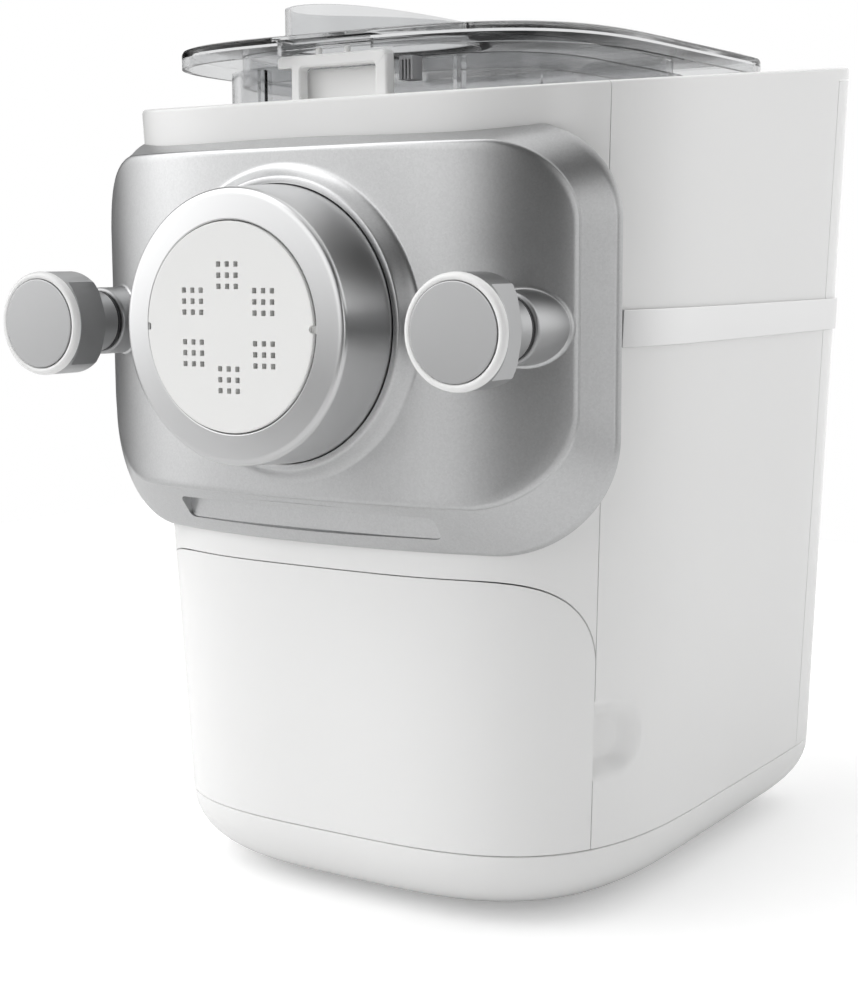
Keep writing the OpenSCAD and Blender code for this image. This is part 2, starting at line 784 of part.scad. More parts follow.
// Ball bearings of the drive shaft, in both walls of the gearbox
module bearings() {
    groove_out = 9.4;
    groove_in = 7.6;
    color("silver") for (y = [gearbox_y - 3, gearbox_y + gearbox_len - 3]) on_axis(y, axis_h)
        difference() {
            cylinder(r = bearing_r, h = bearing_l);
            translate([0, 0, -1]) cylinder(r = shaft_r + shaft_play, h = bearing_l + 2);
            translate([0, 0, -1]) difference() {
                cylinder(r = groove_out, h = 1.6);
                cylinder(r = groove_in, h = 1.6);
            }
        }
}

module intermediate_pin() {
    color("silver") on_axis(gearbox_y, mid_z) cylinder(r = pin_r, h = gearbox_len + gearbox_wall);
}

// Six-sided through the auger and the paddle, round behind them
module drive_shaft() {
    y0 = auger_back - socket_l;
    shoulder = paddle_back + 0.4;
    color("silver") on_axis(y0, axis_h) {
        cylinder(r = shaft_r, h = shoulder - y0 + 1, $fn = 6);
        translate([0, 0, shoulder - y0])
            cylinder(r = shaft_r, h = gearbox_y + gearbox_len + gearbox_wall - shoulder);
    }
}

// Lip seal where the drive shaft enters the chamber
seal_r = 9.8;
module shaft_seal() {
    color("dimgray") on_axis(chamber_back - chamber_wall - 1.5, axis_h) difference() {
        union() {
            cylinder(r = seal_r, h = chamber_wall + 1.6);
            cylinder(r = seal_r + 2.2, h = 1.4);
        }
        translate([0, 0, -1]) cylinder(r = shaft_r + 0.1, h = chamber_wall + 4);
    }
}

// Board with three capacitors, a relay and a heat sink
board_t = 1.6;
module main_board() {
    color("darkgreen") translate([0, board_y, mid_z]) {
        translate([-62, 0, -50]) cube([124, board_t, 128]);
        for (k = [0:2]) translate([-44 + 16 * k, board_t - 0.1, 50]) rotate([-90, 0, 0])
            cylinder(r = 6, h = 12);
        translate([20, board_t - 0.1, 34]) cube([26, 10, 20]);
        translate([-50, board_t - 0.1, -38]) cube([22, 12, 34]);
    }
}

module transformer() {
    color("goldenrod") translate([6, board_y + board_t, mid_z - 40]) {
        cube([34, 12, 28]);
        translate([5, 0, -4]) cube([24, 13, 36]);
    }
}

// ---- mixing chamber ----------------------------------------------------------------------------

// Plan of the chamber: a bowed front, straight sides and a round-cornered back
module chamber_plan(inset) {
    n = 60;
    w = chamber_w / 2 - inset;
    mid = (chamber_front + chamber_back) / 2;
    l = chamber_len / 2 - inset;
    polygon([for (i = [0:n - 1]) let (t = 360 * (i + 0.5) / n, e = sin(t) < 0 ? 4 : 9)
        [w * rounded_sign(cos(t), e), mid + l * rounded_sign(sin(t), e)]]);
}

// Cross-section of the chamber: a round trough under walls that lean outwards
module trough_2d(inset, extra) {
    r = trough_r - inset;
    w = chamber_w / 2 - inset;
    circle(r);
    polygon([[-r, -1], [r, -1], [w, chamber_up], [w, chamber_up + extra],
             [-w, chamber_up + extra], [-w, chamber_up]]);
}

module chamber_solid(inset, extra) {
    intersection() {
        translate([0, 0, axis_h - trough_r - 5])
            linear_extrude(trough_r + chamber_up + 5 + extra) chamber_plan(inset);
        on_axis(chamber_front - 5, axis_h) mirror([0, 1, 0])
            linear_extrude(chamber_len + 10) trough_2d(inset, extra);
    }
}

rib_w = 3;
rib_x = chamber_w * 0.29;
module mixing_chamber() {
    rib_h = chamber_top - top_z(chamber_front) + deck_drop - 6;
    color("lightcyan", 0.4) difference() {
        union() {
            chamber_solid(0, 0);
            for (sx = [-1, 1]) translate([sx * rib_x - rib_w / 2, chamber_front, chamber_top - rib_h - 4])
                cube([rib_w, 6, rib_h]);
        }
        chamber_solid(chamber_wall, 5);
        on_axis(chamber_front - 5, axis_h) cylinder(r = tube_r + 0.2, h = 25);
        on_axis(chamber_back - 10, axis_h) cylinder(r = seal_r + 0.2, h = 15);
    }
}

// ---- chamber latch -----------------------------------------------------------------------------

latch_w = 46;
latch_leg = 4.5;
latch_top = chamber_top + 1.5;
latch_bar_h = 5.5;
latch_y = chamber_front - 12;
latch_t = 5;
latch_foot = top_z(latch_y) - deck_drop - deck_t - 9;
plate_w = 29;
plate_t = 2.4;
plate_y = latch_y + latch_t + 1.2;

// Slots in the deck for the two legs and the plate
module latch_slots() {
    z = latch_foot - 4;
    leg_x = latch_w / 2 - latch_leg / 2;
    for (x = [-leg_x, leg_x]) translate([x - latch_leg / 2 - play, latch_y - play, z])
        cube([latch_leg + 2 * play, latch_t + 2 * play, 40]);
    translate([-plate_w / 2 - play, plate_y - play, z])
        cube([plate_w + 2 * play, plate_t + 2 * play, 40]);
}

// White pressing frame: a bar on two legs, joined again under the deck, with two pins on top
module latch_frame() {
    pin_h = 2.4;
    color("white") {
        difference() {
            translate([-latch_w / 2, latch_y, latch_top - latch_bar_h])
                cube([latch_w, latch_t, latch_bar_h]);
            for (x = [-latch_w / 2, latch_w / 2]) on_axis_x(x, latch_y - 1, latch_top)
                rotate(45) translate([-2, -2, 0]) cube([4, 4, latch_t + 2]);
        }
        for (x = [-latch_w / 2, latch_w / 2 - latch_leg]) translate([x, latch_y, latch_foot])
            cube([latch_leg, latch_t, latch_top - latch_foot - 1]);
        translate([-latch_w / 2, latch_y, latch_foot]) cube([latch_w, latch_t, 3]);
        for (x = [-6, 6]) translate([x, latch_y + 1.6, latch_top - eps]) cylinder(r = 1.1, h = pin_h);
    }
}

module latch_plate() {
    foot = latch_foot + 1;
    color("white") translate([-plate_w / 2, plate_y, foot]) {
        cube([plate_w, plate_t, latch_top - latch_bar_h + 1 - foot]);
        cube([plate_w, chamber_front - plate_y - play, 3]);
    }
}

// ---- paddle and extruder -----------------------------------------------------------------------

auger_front = face_y + 11;
auger_back = chamber_front + 42;
auger_r = tube_bore / 2 - 0.9;
auger_core = 9;
socket_l = 14;
paddle_front = auger_back + 1;
paddle_back = chamber_back - chamber_wall - 2.5;
paddle_r = trough_r - chamber_wall - 2;
hex_play = 0.1;

// Three arms on a hub, each with a scraper bar along the trough
module mixing_paddle() {
    len = paddle_back - paddle_front;
    bar = 7;
    color("white") on_axis(paddle_front, axis_h) difference() {
        union() {
            cylinder(r = 11, h = len);
            for (k = [0:2]) let (arm_y = k * (len - 2 * bar) / 2)
                rotate(120 * k) translate([0, -bar / 2, 3]) {
                    translate([0, 0, arm_y]) cube([paddle_r - 6, bar, bar]);
                    translate([paddle_r - 9, 0, 0]) cube([6, bar, len - 6]);
                }
        }
        translate([0, 0, -1]) cylinder(r = shaft_r + hex_play, h = len + 2, $fn = 6);
    }
}

// Section of the auger's flight at angle a and height z: thick at the core, thin at its edge
function flight_ring(a, z) =
    [for (p = [[auger_core - 2, 3], [auger_r, 1.6], [auger_r, -1.6], [auger_core - 2, -3]])
        [p.x * cos(a), p.x * sin(a), z + p.y]];

module auger() {
    len = auger_back - auger_front;
    turns = 3;
    steps = 18 * turns;
    flight_end = 10;
    color("white") on_axis(auger_front, axis_h) difference() {
        union() {
            translate([0, 0, 2]) cylinder(r = auger_core, h = len - 2);
            cylinder(r1 = 3, r2 = auger_core, h = 3);
            loft([for (k = [0:steps])
                flight_ring(360 * turns * k / steps, 6 + (len - 6 - flight_end) * k / steps)]);
        }
        translate([0, 0, len - socket_l])
            cylinder(r = shaft_r + hex_play, h = socket_l + 1, $fn = 6);
    }
}

module extruder_tube() {
    len = chamber_front + chamber_wall + 4 - tube_front;
    color("silver") on_axis(tube_front, axis_h) difference() {
        union() {
            cylinder(r = tube_r, h = len);
            cylinder(r = cap_bore - 0.5, h = 16);
        }
        translate([0, 0, -1]) cylinder(r = tube_bore / 2, h = len + 2);
    }
}

// ---- shaping disc and cap ring -------------------------------------------------------------------

cap_r = cap_d / 2;
cap_bore = cap_r - 4.2;
flange_t = 3;
cap_face = face_y + 0.8;
lip_t = 2.6;
flange_y = cap_face + lip_t + 0.2;
tube_front = flange_y + flange_t + 0.2;

module shaping_disc() {
    r = disc_d / 2;
    bevel = 0.5;
    flange_z = flange_y - face_y;
    color("white") on_axis(face_y, axis_h) difference() {
        union() {
            cylinder(r1 = r - bevel, r2 = r, h = bevel);
            translate([0, 0, bevel - eps]) cylinder(r = r, h = flange_z);
            translate([0, 0, flange_z]) cylinder(r = cap_bore - 0.6, h = flange_t);
        }
        for (g = [0:5], i = [-1:1], j = [-1:1])
            translate([group_r * sin(60 * g) + i * hole_pitch - hole_side / 2,
                       group_r * cos(60 * g) + j * hole_pitch - hole_side / 2, -1])
                cube([hole_side, hole_side, 20]);
        for (x = [0.4 - r, r - 0.4]) translate([x, 0, -1]) cylinder(r = 1.3, h = 2.6);
        // Groove at the back that seats on the tip of the auger
        translate([0, 0, flange_z + 1]) difference() {
            cylinder(r = 8, h = 10);
            translate([0, 0, -1]) cylinder(r = 4, h = 12);
        }
    }
}

module cap_ring() {
    r = disc_d / 2 + play;
    color("silver") on_axis(cap_face, axis_h) rotate_extrude($fn = ring_fn) polygon([
        [r, 0], [cap_r - 1.4, 0.7], [cap_r - 0.4, 1.3], [cap_r, 2.4], [cap_r + 1.1, cap_len],
        [cap_bore, cap_len], [cap_bore, lip_t], [r, lip_t]]);
}

// ---- front panel -------------------------------------------------------------------------------

bevel_bow = 22;
bevel_setback = 43;
collar_r = cap_r + 1.7;
collar_front = cap_face + cap_len + 0.5;
spindle_r = 7;
spindle_len = 20;

// Half outline of a rounded panel, as a chain from its right edge over the top (up = 1) to its left
// edge, or the same along the bottom (up = -1)
function panel_chain(w, h, r, up) =
    let (steps = 6, mids = 7)
    concat(
        [for (k = [0:steps]) let (a = 90 * k / steps) [w - r + r * cos(a), up * (h - r + r * sin(a))]],
        [for (k = [1:mids - 1]) [(w - r) * (1 - 2 * k / mids), up * h]],
        [for (k = [0:steps]) let (a = 90 + 90 * k / steps) [-w + r + r * cos(a), up * (h - r + r * sin(a))]]);

// A ring of the panel: half width, heights and corner radii above and below the axis, setback and bow
function panel_ring(w, up, down, r_top, r_low, y0, bow, power) =
    let (top = panel_chain(w, up, r_top, 1), low = panel_chain(w, down, r_low, -1), n = len(top))
    [for (p = concat(top, [for (j = [n - 1:-1:0]) low[j]]))
        [p.x, face_y + y0 + bow * pow(abs(p.x) / w, power), axis_h + p.y]];

module panel_solid(inset, back) {
    w = panel_w / 2 - inset * 1.2;
    fw = face_w / 2 - inset;
    up = bevel_up - inset;
    down = bevel_down - inset;
    return_in = [9, 6];
    loft([
        panel_ring(w - return_in.x, up - return_in.y, down - return_in.y, 26, 34,
                   bevel_setback + 12 + back, bevel_bow + 3, 2),
        panel_ring(w, up, down, 31, 40, bevel_setback + (back > 0 ? inset : 0), bevel_bow, 2),
        panel_ring(fw, face_up - inset, face_up - inset, 26, 32,
                   face_setback + inset, face_bow, 3.5)]);
}

// Section of the raised collar round the cap ring, with its hollow fillet
function collar_profile() =
    let (y0 = collar_front, y1 = face_y + face_setback + 1.5, f = 4)
    concat([[collar_r - 1, y0], [collar_r + 1, y0]],
        [for (k = [0:5]) let (a = 18 * k)
            [collar_r + 1 + f * (1 - cos(a)), y1 - 1.5 - f + f * sin(a)]],
        [[collar_r + 1 + f, y1 + 6], [collar_r - 1, y1 + 6]]);

// Grip slot in the lower bevel, its ends rounded
slot_w = 106;
slot_h = 8.8;
slot_z = axis_h - (face_up + bevel_down) / 2 + 1;
module front_panel() {
    straight = slot_w - slot_h;
    color("silver") difference() {
        union() {
            difference() {
                panel_solid(0, 0);
                panel_solid(panel_wall, 1);
            }
            for (sx = [-1, 1]) on_axis_x(sx * knob_x, boss_y, axis_h) cylinder(r = boss_r, h = 50);
            on_axis(0, axis_h) rotate_extrude($fn = ring_fn) polygon(collar_profile());
        }
        housing_solid(base_seam_h, -play, -20);
        on_axis(face_y, axis_h) cylinder(r = collar_r, h = 80);
        for (sx = [-1, 1]) {
            on_axis_x(sx * knob_x, boss_y - 1, axis_h) cylinder(r = spindle_r + play, h = 60);
            on_axis_x(sx * straight / 2, face_y, slot_z) cylinder(r = slot_h / 2, h = 60);
        }
        translate([-straight / 2, face_y, slot_z - slot_h / 2]) cube([straight, 60, slot_h]);
    }
}

// ---- lock knobs --------------------------------------------------------------------------------

knob_face_r = knob_d / 2 - knob_rim;
knob_y = face_y + 0.4;
flat_inset = 2.6;
cap_seat = 1.6;

// A rimmed grip, flat above and below, and the spindle that turns on the lock rod
module knob(sx) {
    r = knob_d / 2;
    grip_r = r - 1.2;
    flat = r - flat_inset;
    on_axis_x(sx * knob_x, knob_y, axis_h) difference() {
        union() {
            intersection() {
                union() {
                    rotate_extrude($fn = ring_fn) polygon([[0, 0.6], [r - 1.8, 0.6], [r - 0.6, 1],
                        [r, 2.2], [r, 12], [grip_r, 13.2], [0, 13.2]]);
                    translate([0, 0, 13]) cylinder(r = grip_r, h = knob_len - 17.4);
                    translate([0, 0, knob_len - 4.5]) cylinder(r1 = grip_r, r2 = r - 3, h = 4.5);
                }
                union() {
                    cylinder(r = r + 1, h = 9);
                    translate([-r - 1, -flat, 0]) cube([2 * r + 2, 2 * flat, knob_len + 1]);
                }
            }
            translate([0, 0, knob_len - 1]) cylinder(r = spindle_r, h = spindle_len + 1);
        }
        translate([0, 0, -1]) cylinder(r = knob_face_r + 0.1, h = cap_seat + 1);
        translate([0, 0, knob_len - 8]) cylinder(r = rod_r + play, h = spindle_len + 20);
    }
}
module knob_left() color("white") knob(-1);
module knob_right() color("white") knob(1);

module knob_face(sx) {
    edge = 0.4;
    color("silver") on_axis_x(sx * knob_x, knob_y, axis_h) {
        cylinder(r1 = knob_face_r - edge, r2 = knob_face_r, h = edge);
        translate([0, 0, edge - eps]) cylinder(r = knob_face_r, h = cap_seat - edge);
    }
}
module knob_face_left() knob_face(-1);
module knob_face_right() knob_face(1);

module knob_washer(sx) {
    color("dimgray") on_axis_x(sx * knob_x, boss_y - 1.3, axis_h) difference() {
        cylinder(r = boss_r - 1.2, h = 1);
        translate([0, 0, -1]) cylinder(r = spindle_r + shaft_play, h = 3);
    }
}
module knob_washer_left() knob_washer(-1);
module knob_washer_right() knob_washer(1);

// ---- lid ---------------------------------------------------------------------------------------

lid_z = chamber_top + 1.5;
lid_top = lid_z + lid_rim;
lid_t = 2.2;
lid_front = chamber_front - lid_ahead;
lid_back = chamber_back + lid_behind;
plug_gap = 0.8;
plug_wall = 2.2;
pour_x = -6;
pour_y = chamber_front + 33;
pour_a = 40;
pour_b = 26;
pour_tilt = 8;
notch_w = 38;

module lid_plan(inset) {
    n = 72;
    w = chamber_w / 2 + lid_side - inset;
    mid = (lid_front + lid_back) / 2;
    l = (lid_back - lid_front) / 2 - inset;
    polygon([for (i = [0:n - 1]) let (t = 360 * (i + 0.5) / n, e = sin(t) < 0 ? 3.6 : 12)
        [w * rounded_sign(cos(t), e), mid + l * rounded_sign(sin(t), e)]]);
}
module pour_plan(inset) {
    translate([pour_x, pour_y]) polygon([for (i = [0:47]) let (t = 7.5 * i)
        [(pour_a - inset) * cos(t), (pour_b - inset) * sin(t)]]);
}

// Rimmed plate with a plug into the chamber, an oval pour collar and a notch for the latch
module lid() {
    plug_inset = chamber_wall + plug_gap;
    plug_low = chamber_top - 5;
    color("lightcyan", 0.4) difference() {
        union() {
            translate([0, 0, lid_z]) linear_extrude(lid_rim) lid_plan(0);
            translate([0, 0, lid_top - eps]) intersection() {
                linear_extrude(collar_h) pour_plan(0);
                translate([pour_x - pour_a, pour_y - 60, 0]) rotate([0, pour_tilt, 0])
                    translate([0, 0, -40]) cube([120, 120, 40 + collar_h]);
            }
            translate([0, 0, plug_low]) linear_extrude(lid_top - plug_low - 1)
                chamber_plan(plug_inset);
        }
        difference() {
            translate([0, 0, lid_z - 1]) linear_extrude(lid_rim - lid_t + 1) lid_plan(lid_t);
            translate([0, 0, plug_low - 1]) linear_extrude(40) chamber_plan(plug_inset);
        }
        translate([0, 0, plug_low - 1]) linear_extrude(lid_top - lid_t - plug_low + 1)
            chamber_plan(plug_inset + plug_wall);
        translate([0, 0, lid_z - 10]) linear_extrude(collar_h + 50) pour_plan(lid_t);
        translate([-notch_w / 2, lid_front - 5, lid_z - 1]) cube([notch_w, 14, lid_rim - 1.2]);
    }
}

base_pan();
rubber_feet();
front_shell();
side_shell_left();
side_shell_right();
rear_cover();
trim_band();
top_deck();
control_fascia();
display_window();
start_button();
program_button_1();
program_button_2();
program_button_3();
minus_button();
plus_button();
drawer_front();
drawer_tray();
drawer_runners();
inner_frame();
lock_rods();
load_cell();
motor_can();
armature_shaft();
motor_pinion();
motor_fan();
gearbox_housing();
gearbox_cover();
bearings();
intermediate_pin();
intermediate_gear();
output_gear();
drive_shaft();
shaft_seal();
main_board();
transformer();
control_board();
mixing_chamber();
latch_frame();
latch_plate();
mixing_paddle();
auger();
extruder_tube();
lid();
front_panel();
cap_ring();
shaping_disc();
knob_left();
knob_right();
knob_face_left();
knob_face_right();
knob_washer_left();
knob_washer_right();
cord_gland();
case_screws();
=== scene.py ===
import math

import bmesh
import bpy
from mathutils import Matrix, Vector


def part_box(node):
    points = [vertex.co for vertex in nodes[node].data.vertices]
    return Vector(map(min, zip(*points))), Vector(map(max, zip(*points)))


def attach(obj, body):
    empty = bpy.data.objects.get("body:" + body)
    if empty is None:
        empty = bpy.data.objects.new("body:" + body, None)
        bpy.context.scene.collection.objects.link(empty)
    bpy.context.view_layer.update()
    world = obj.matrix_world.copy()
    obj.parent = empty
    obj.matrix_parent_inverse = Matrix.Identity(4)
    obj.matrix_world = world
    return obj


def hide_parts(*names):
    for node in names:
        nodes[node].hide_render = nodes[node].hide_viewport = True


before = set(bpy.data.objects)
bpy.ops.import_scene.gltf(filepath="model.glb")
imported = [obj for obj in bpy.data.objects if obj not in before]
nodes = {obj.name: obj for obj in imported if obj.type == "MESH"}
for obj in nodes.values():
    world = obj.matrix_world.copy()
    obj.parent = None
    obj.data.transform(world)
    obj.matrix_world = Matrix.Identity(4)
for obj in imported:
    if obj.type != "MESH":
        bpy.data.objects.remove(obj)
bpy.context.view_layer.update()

# ---- Camera ------------------------------------------------------------------------------------
# A short telephoto lens, a little above the machine and to the right of its front. The tall frame is
# 36 mm high, and a small shift sets the machine in it.
camera_spot = Vector((0.36918, -0.59482, 0.23237))
look_turn = math.radians(33.254)
look_down = math.radians(7.681)
look_roll = math.radians(-0.308)
forward = Vector((-math.sin(look_turn) * math.cos(look_down),
                  math.cos(look_turn) * math.cos(look_down), -math.sin(look_down)))
level_right = Vector((math.cos(look_turn), math.sin(look_turn), 0))
level_up = level_right.cross(forward)
camera_right = level_right * math.cos(look_roll) + level_up * math.sin(look_roll)
camera_up = level_up * math.cos(look_roll) - level_right * math.sin(look_roll)
lens = bpy.data.cameras.new("camera")
lens.sensor_fit = "VERTICAL"
lens.sensor_height = 36
lens.lens = 64.714
lens.shift_x = 0.01067
lens.shift_y = -0.00093
lens.clip_start = 0.05
lens.clip_end = 30
camera = bpy.data.objects.new("camera", lens)
camera.matrix_world = Matrix((
    (camera_right.x, camera_up.x, -forward.x, camera_spot.x),
    (camera_right.y, camera_up.y, -forward.y, camera_spot.y),
    (camera_right.z, camera_up.z, -forward.z, camera_spot.z),
    (0, 0, 0, 1)))
bpy.context.scene.collection.objects.link(camera)
bpy.context.scene.camera = camera

# ---- Studio ------------------------------------------------------------------------------------
# White paper sweep in a white studio. Soft walls of light stand to the left and to the right, and a
# darker gap between them gives the metal its shape. Looked at directly, paper and walls are white.
bpy.context.scene.view_settings.view_transform = "Standard"
sweep_half = 0.8
sweep = bmesh.new()
bmesh.ops.create_grid(sweep, x_segments=1, y_segments=1, size=sweep_half)
sweep_mesh = bpy.data.meshes.new("paper_sweep")
sweep.to_mesh(sweep_mesh)
sweep.free()
paper_sweep = bpy.data.objects.new("paper_sweep", sweep_mesh)
bpy.context.scene.collection.objects.link(paper_sweep)


def looked_at(tree):
    """1 for a ray from the camera or through clear plastic, 0 for all other rays."""
    rays = tree.nodes.new("ShaderNodeLightPath")
    either = tree.nodes.new("ShaderNodeMath")
    either.operation = "MAXIMUM"
    tree.links.new(rays.outputs["Is Camera Ray"], either.inputs[0])
    tree.links.new(rays.outputs["Is Transmission Ray"], either.inputs[1])
    return either.outputs[0]


paper_white, paper_lift = 0.86, 0.30
paper = bpy.data.materials.new("white_paper")
paper.use_nodes = True
tree = paper.node_tree
tree.nodes.clear()
paper_out = tree.nodes.new("ShaderNodeOutputMaterial")
paper_face = tree.nodes.new("ShaderNodeBsdfDiffuse")
paper_face.inputs["Color"].default_value = (paper_white, paper_white, paper_white, 1)
paper_glow = tree.nodes.new("ShaderNodeEmission")
paper_glow.inputs["Color"].default_value = (1, 1, 1, 1)
paper_sum = tree.nodes.new("ShaderNodeAddShader")
paper_level = tree.nodes.new("ShaderNodeMath")
paper_level.operation = "MULTIPLY"
paper_level.inputs[1].default_value = paper_lift
tree.links.new(looked_at(tree), paper_level.inputs[0])
tree.links.new(paper_level.outputs[0], paper_glow.inputs["Strength"])
tree.links.new(paper_face.outputs[0], paper_sum.inputs[0])
tree.links.new(paper_glow.outputs[0], paper_sum.inputs[1])
tree.links.new(paper_sum.outputs[0], paper_out.inputs["Surface"])
paper_sweep.data.materials.append(paper)

# Each wall of light: its turn from straight in front of the machine (negative is to the left as one
# faces it), its height, the angles from its middle at which it is full and gone, and its level.
studio_walls = (
    (-72, 14, 6, 34, 1.2),
    (-50, 14, 6, 30, 1.3),
    (-8, 14, 6, 30, 1.5),
    (74, 6, 4, 20, 1.5),
    (128, 16, 8, 40, 1.1),
    (180, 20, 10, 60, 1.2),
    (0, 90, 10, 50, 0.9),
    (-50, 50, 8, 36, 2.1))
studio_base = 0.03
studio = bpy.data.worlds.new("studio")
bpy.context.scene.world = studio
studio.use_nodes = True
tree = studio.node_tree
tree.nodes.clear()
studio_out = tree.nodes.new("ShaderNodeOutputWorld")
studio_air = tree.nodes.new("ShaderNodeBackground")
studio_air.inputs["Color"].default_value = (1, 1, 1, 1)
studio_where = tree.nodes.new("ShaderNodeTexCoord")
studio_light = None
for turn, height, full, gone, added in studio_walls:
    turn, height = math.radians(turn), math.radians(height)
    facing = tree.nodes.new("ShaderNodeVectorMath")
    facing.operation = "DOT_PRODUCT"
    facing.inputs[1].default_value = (math.sin(turn) * math.cos(height),
                                      -math.cos(turn) * math.cos(height), math.sin(height))
    tree.links.new(studio_where.outputs["Generated"], facing.inputs[0])
    soft = tree.nodes.new("ShaderNodeMapRange")
    soft.interpolation_type = "SMOOTHSTEP"
    soft.inputs["From Min"].default_value = math.cos(math.radians(gone))
    soft.inputs["From Max"].default_value = math.cos(math.radians(full))
    soft.inputs["To Min"].default_value = 0
    soft.inputs["To Max"].default_value = added
    tree.links.new(facing.outputs["Value"], soft.inputs["Value"])
    total = tree.nodes.new("ShaderNodeMath")
    total.operation = "ADD"
    total.inputs[1].default_value = studio_base
    tree.links.new(soft.outputs["Result"], total.inputs[0])
    if studio_light:
        tree.links.new(studio_light.outputs[0], total.inputs[1])
    studio_light = total
studio_level = tree.nodes.new("ShaderNodeMapRange")
studio_level.inputs["To Max"].default_value = 1.0
tree.links.new(looked_at(tree), studio_level.inputs["Value"])
tree.links.new(studio_light.outputs[0], studio_level.inputs["To Min"])
tree.links.new(studio_level.outputs["Result"], studio_air.inputs["Strength"])
tree.links.new(studio_air.outputs[0], studio_out.inputs["Surface"])

# ---- Base pan ----------------------------------------------------------------------------------
# White moulded bowl that closes the machine from below. Its lower edge is a deep quarter round, and
# its rim meets the covers at a thin open seam. Screws from below hold it to the inner frame.
half_width_low, half_width_high = 98.0, 107.5
edge_height = 284.5
housing_front, housing_rear = -89.5, 143.0
front_lean, rear_lean, rear_height = 16.0, 8.0, 309.6
pan_rim = 27.8
pan_round = 26.0
foot_height = 3.0


def squared_round(turn, half_width, front, back, front_power, back_power):
    """Point of a rounded outline, with its own squareness for the front and for the back."""
    power = front_power if math.sin(turn) < 0 else back_power
    c, s = math.cos(turn), math.sin(turn)
    return (half_width * math.copysign(abs(c) ** (2 / power), c),
            (front + back) / 2 + (back - front) / 2 * math.copysign(abs(s) ** (2 / power), s))


def outline(turn, z, inset):
    """Point of the housing's plan at height z: softly rounded front corners, tight rear corners."""
    half_width = half_width_low + (half_width_high - half_width_low) * z / edge_height
    front = housing_front - front_lean * z / edge_height
    rear = housing_rear - rear_lean * (1 - z / rear_height)
    return Vector((*squared_round(turn, half_width - inset, front + inset, rear - inset, 3.43, 12), z))


def top_edge(y):
    return edge_height + 0.1 * (y - housing_front + front_lean)


def rim_point(turn, drop, inset):
    """Point on the sloping top edge of the housing, drop below it."""
    return outline(turn, top_edge(outline(turn, edge_height, 0).y) - drop, inset)


def stack(stations, ends="closed", segments=240):
    """Skins a stack of rings. A station gives the place of a ring's point from its turn. The first
    and last ring are closed, joined to each other, as on a wall, or left open."""
    bm = bmesh.new()
    half_step = Matrix.Rotation(math.pi / segments, 4, "Z")
    bmesh.ops.create_circle(bm, segments=segments, radius=1, matrix=half_step)
    turn = bm.verts.layers.float.new("turn")
    for v in bm.verts:
        v[turn] = math.atan2(v.co.y, v.co.x)
        v.co = stations[0](v[turn])
    edges = bm.edges[:]
    if ends == "closed":
        bmesh.ops.contextual_create(bm, geom=edges)
    for station in list(stations[1:]) + ([stations[0]] if ends == "joined" else []):
        made = bmesh.ops.extrude_edge_only(bm, edges=edges)["geom"]
        fresh = {g for g in made if isinstance(g, bmesh.types.BMVert)}
        for v in fresh:
            v.co = station(v[turn])
        edges = [g for g in made if isinstance(g, bmesh.types.BMEdge) and fresh.issuperset(g.verts)]
    if ends == "closed":
        bmesh.ops.contextual_create(bm, geom=edges)
    bmesh.ops.remove_doubles(bm, verts=bm.verts, dist=0.001)
    bmesh.ops.recalc_face_normals(bm, faces=bm.faces)
    return bm


def settle(bm, name):
    """Makes an object of a mesh drawn in millimetres."""
    bmesh.ops.scale(bm, vec=(0.001, 0.001, 0.001), verts=bm.verts)
    mesh = bpy.data.meshes.new(name)
    bm.to_mesh(mesh)
    bm.free()
    obj = bpy.data.objects.new(name, mesh)
    bpy.context.scene.collection.objects.link(obj)
    return obj


def lifted(obj):
    """Takes the mesh of an object back as a drawing in millimetres. The object itself goes."""
    bm = bmesh.new()
    bm.from_mesh(obj.data)
    bmesh.ops.scale(bm, vec=(1000, 1000, 1000), verts=bm.verts)
    spent = obj.data
    bpy.data.objects.remove(obj)
    bpy.data.meshes.remove(spent)
    return bm


def carve(obj, tool, how="DIFFERENCE"):
    """Cuts obj with a tool drawn in millimetres, or joins the tool to it."""
    knife = settle(tool, "knife")
    step = obj.modifiers.new("carve", "BOOLEAN")
    step.operation = how
    step.solver = "EXACT"
    step.object = knife
    bpy.context.view_layer.update()
    cut = obj.evaluated_get(bpy.context.evaluated_depsgraph_get())
    cut_mesh = bpy.data.meshes.new_from_object(cut)
    obj.modifiers.clear()
    old = obj.data
    obj.data = cut_mesh
    bpy.data.meshes.remove(old)
    lifted(knife).free()


def block(low, high):
    """A plain block between two corners, as a cutting tool."""
    bm = bmesh.new()
    bmesh.ops.create_cube(bm, size=1)
    low, high = Vector(low), Vector(high)
    bmesh.ops.scale(bm, vec=high - low, verts=bm.verts)
    bmesh.ops.translate(bm, vec=(low + high) / 2, verts=bm.verts)
    return bm


def thickened(bm, way):
    """Makes a solid of a flat drawing by pulling it along way."""
    made = bmesh.ops.extrude_face_region(bm, geom=bm.faces[:])["geom"]
    bmesh.ops.translate(bm, vec=way, verts=[g for g in made if isinstance(g, bmesh.types.BMVert)])
    bmesh.ops.recalc_face_normals(bm, faces=bm.faces)
    return bm


def plate(width, length, thickness, radius, segments=6):
    """A flat plate with rounded corners, its underside centred on the origin."""
    bm = bmesh.new()
    bmesh.ops.create_grid(bm, x_segments=1, y_segments=1, size=0.5)
    bmesh.ops.scale(bm, vec=(width, length, 1), verts=bm.verts)
    bmesh.ops.bevel(bm, geom=bm.verts[:], offset=radius, segments=segments, affect="VERTICES",
                    profile=0.5, material=-1)
    return thickened(bm, (0, 0, thickness))


def moved(bm, *turns):
    """Places a drawing: each of turns is a matrix or a shift."""
    for turn in turns:
        place = turn if isinstance(turn, Matrix) else Matrix.Translation(turn)
        bmesh.ops.transform(bm, matrix=place, verts=bm.verts)
    return bm


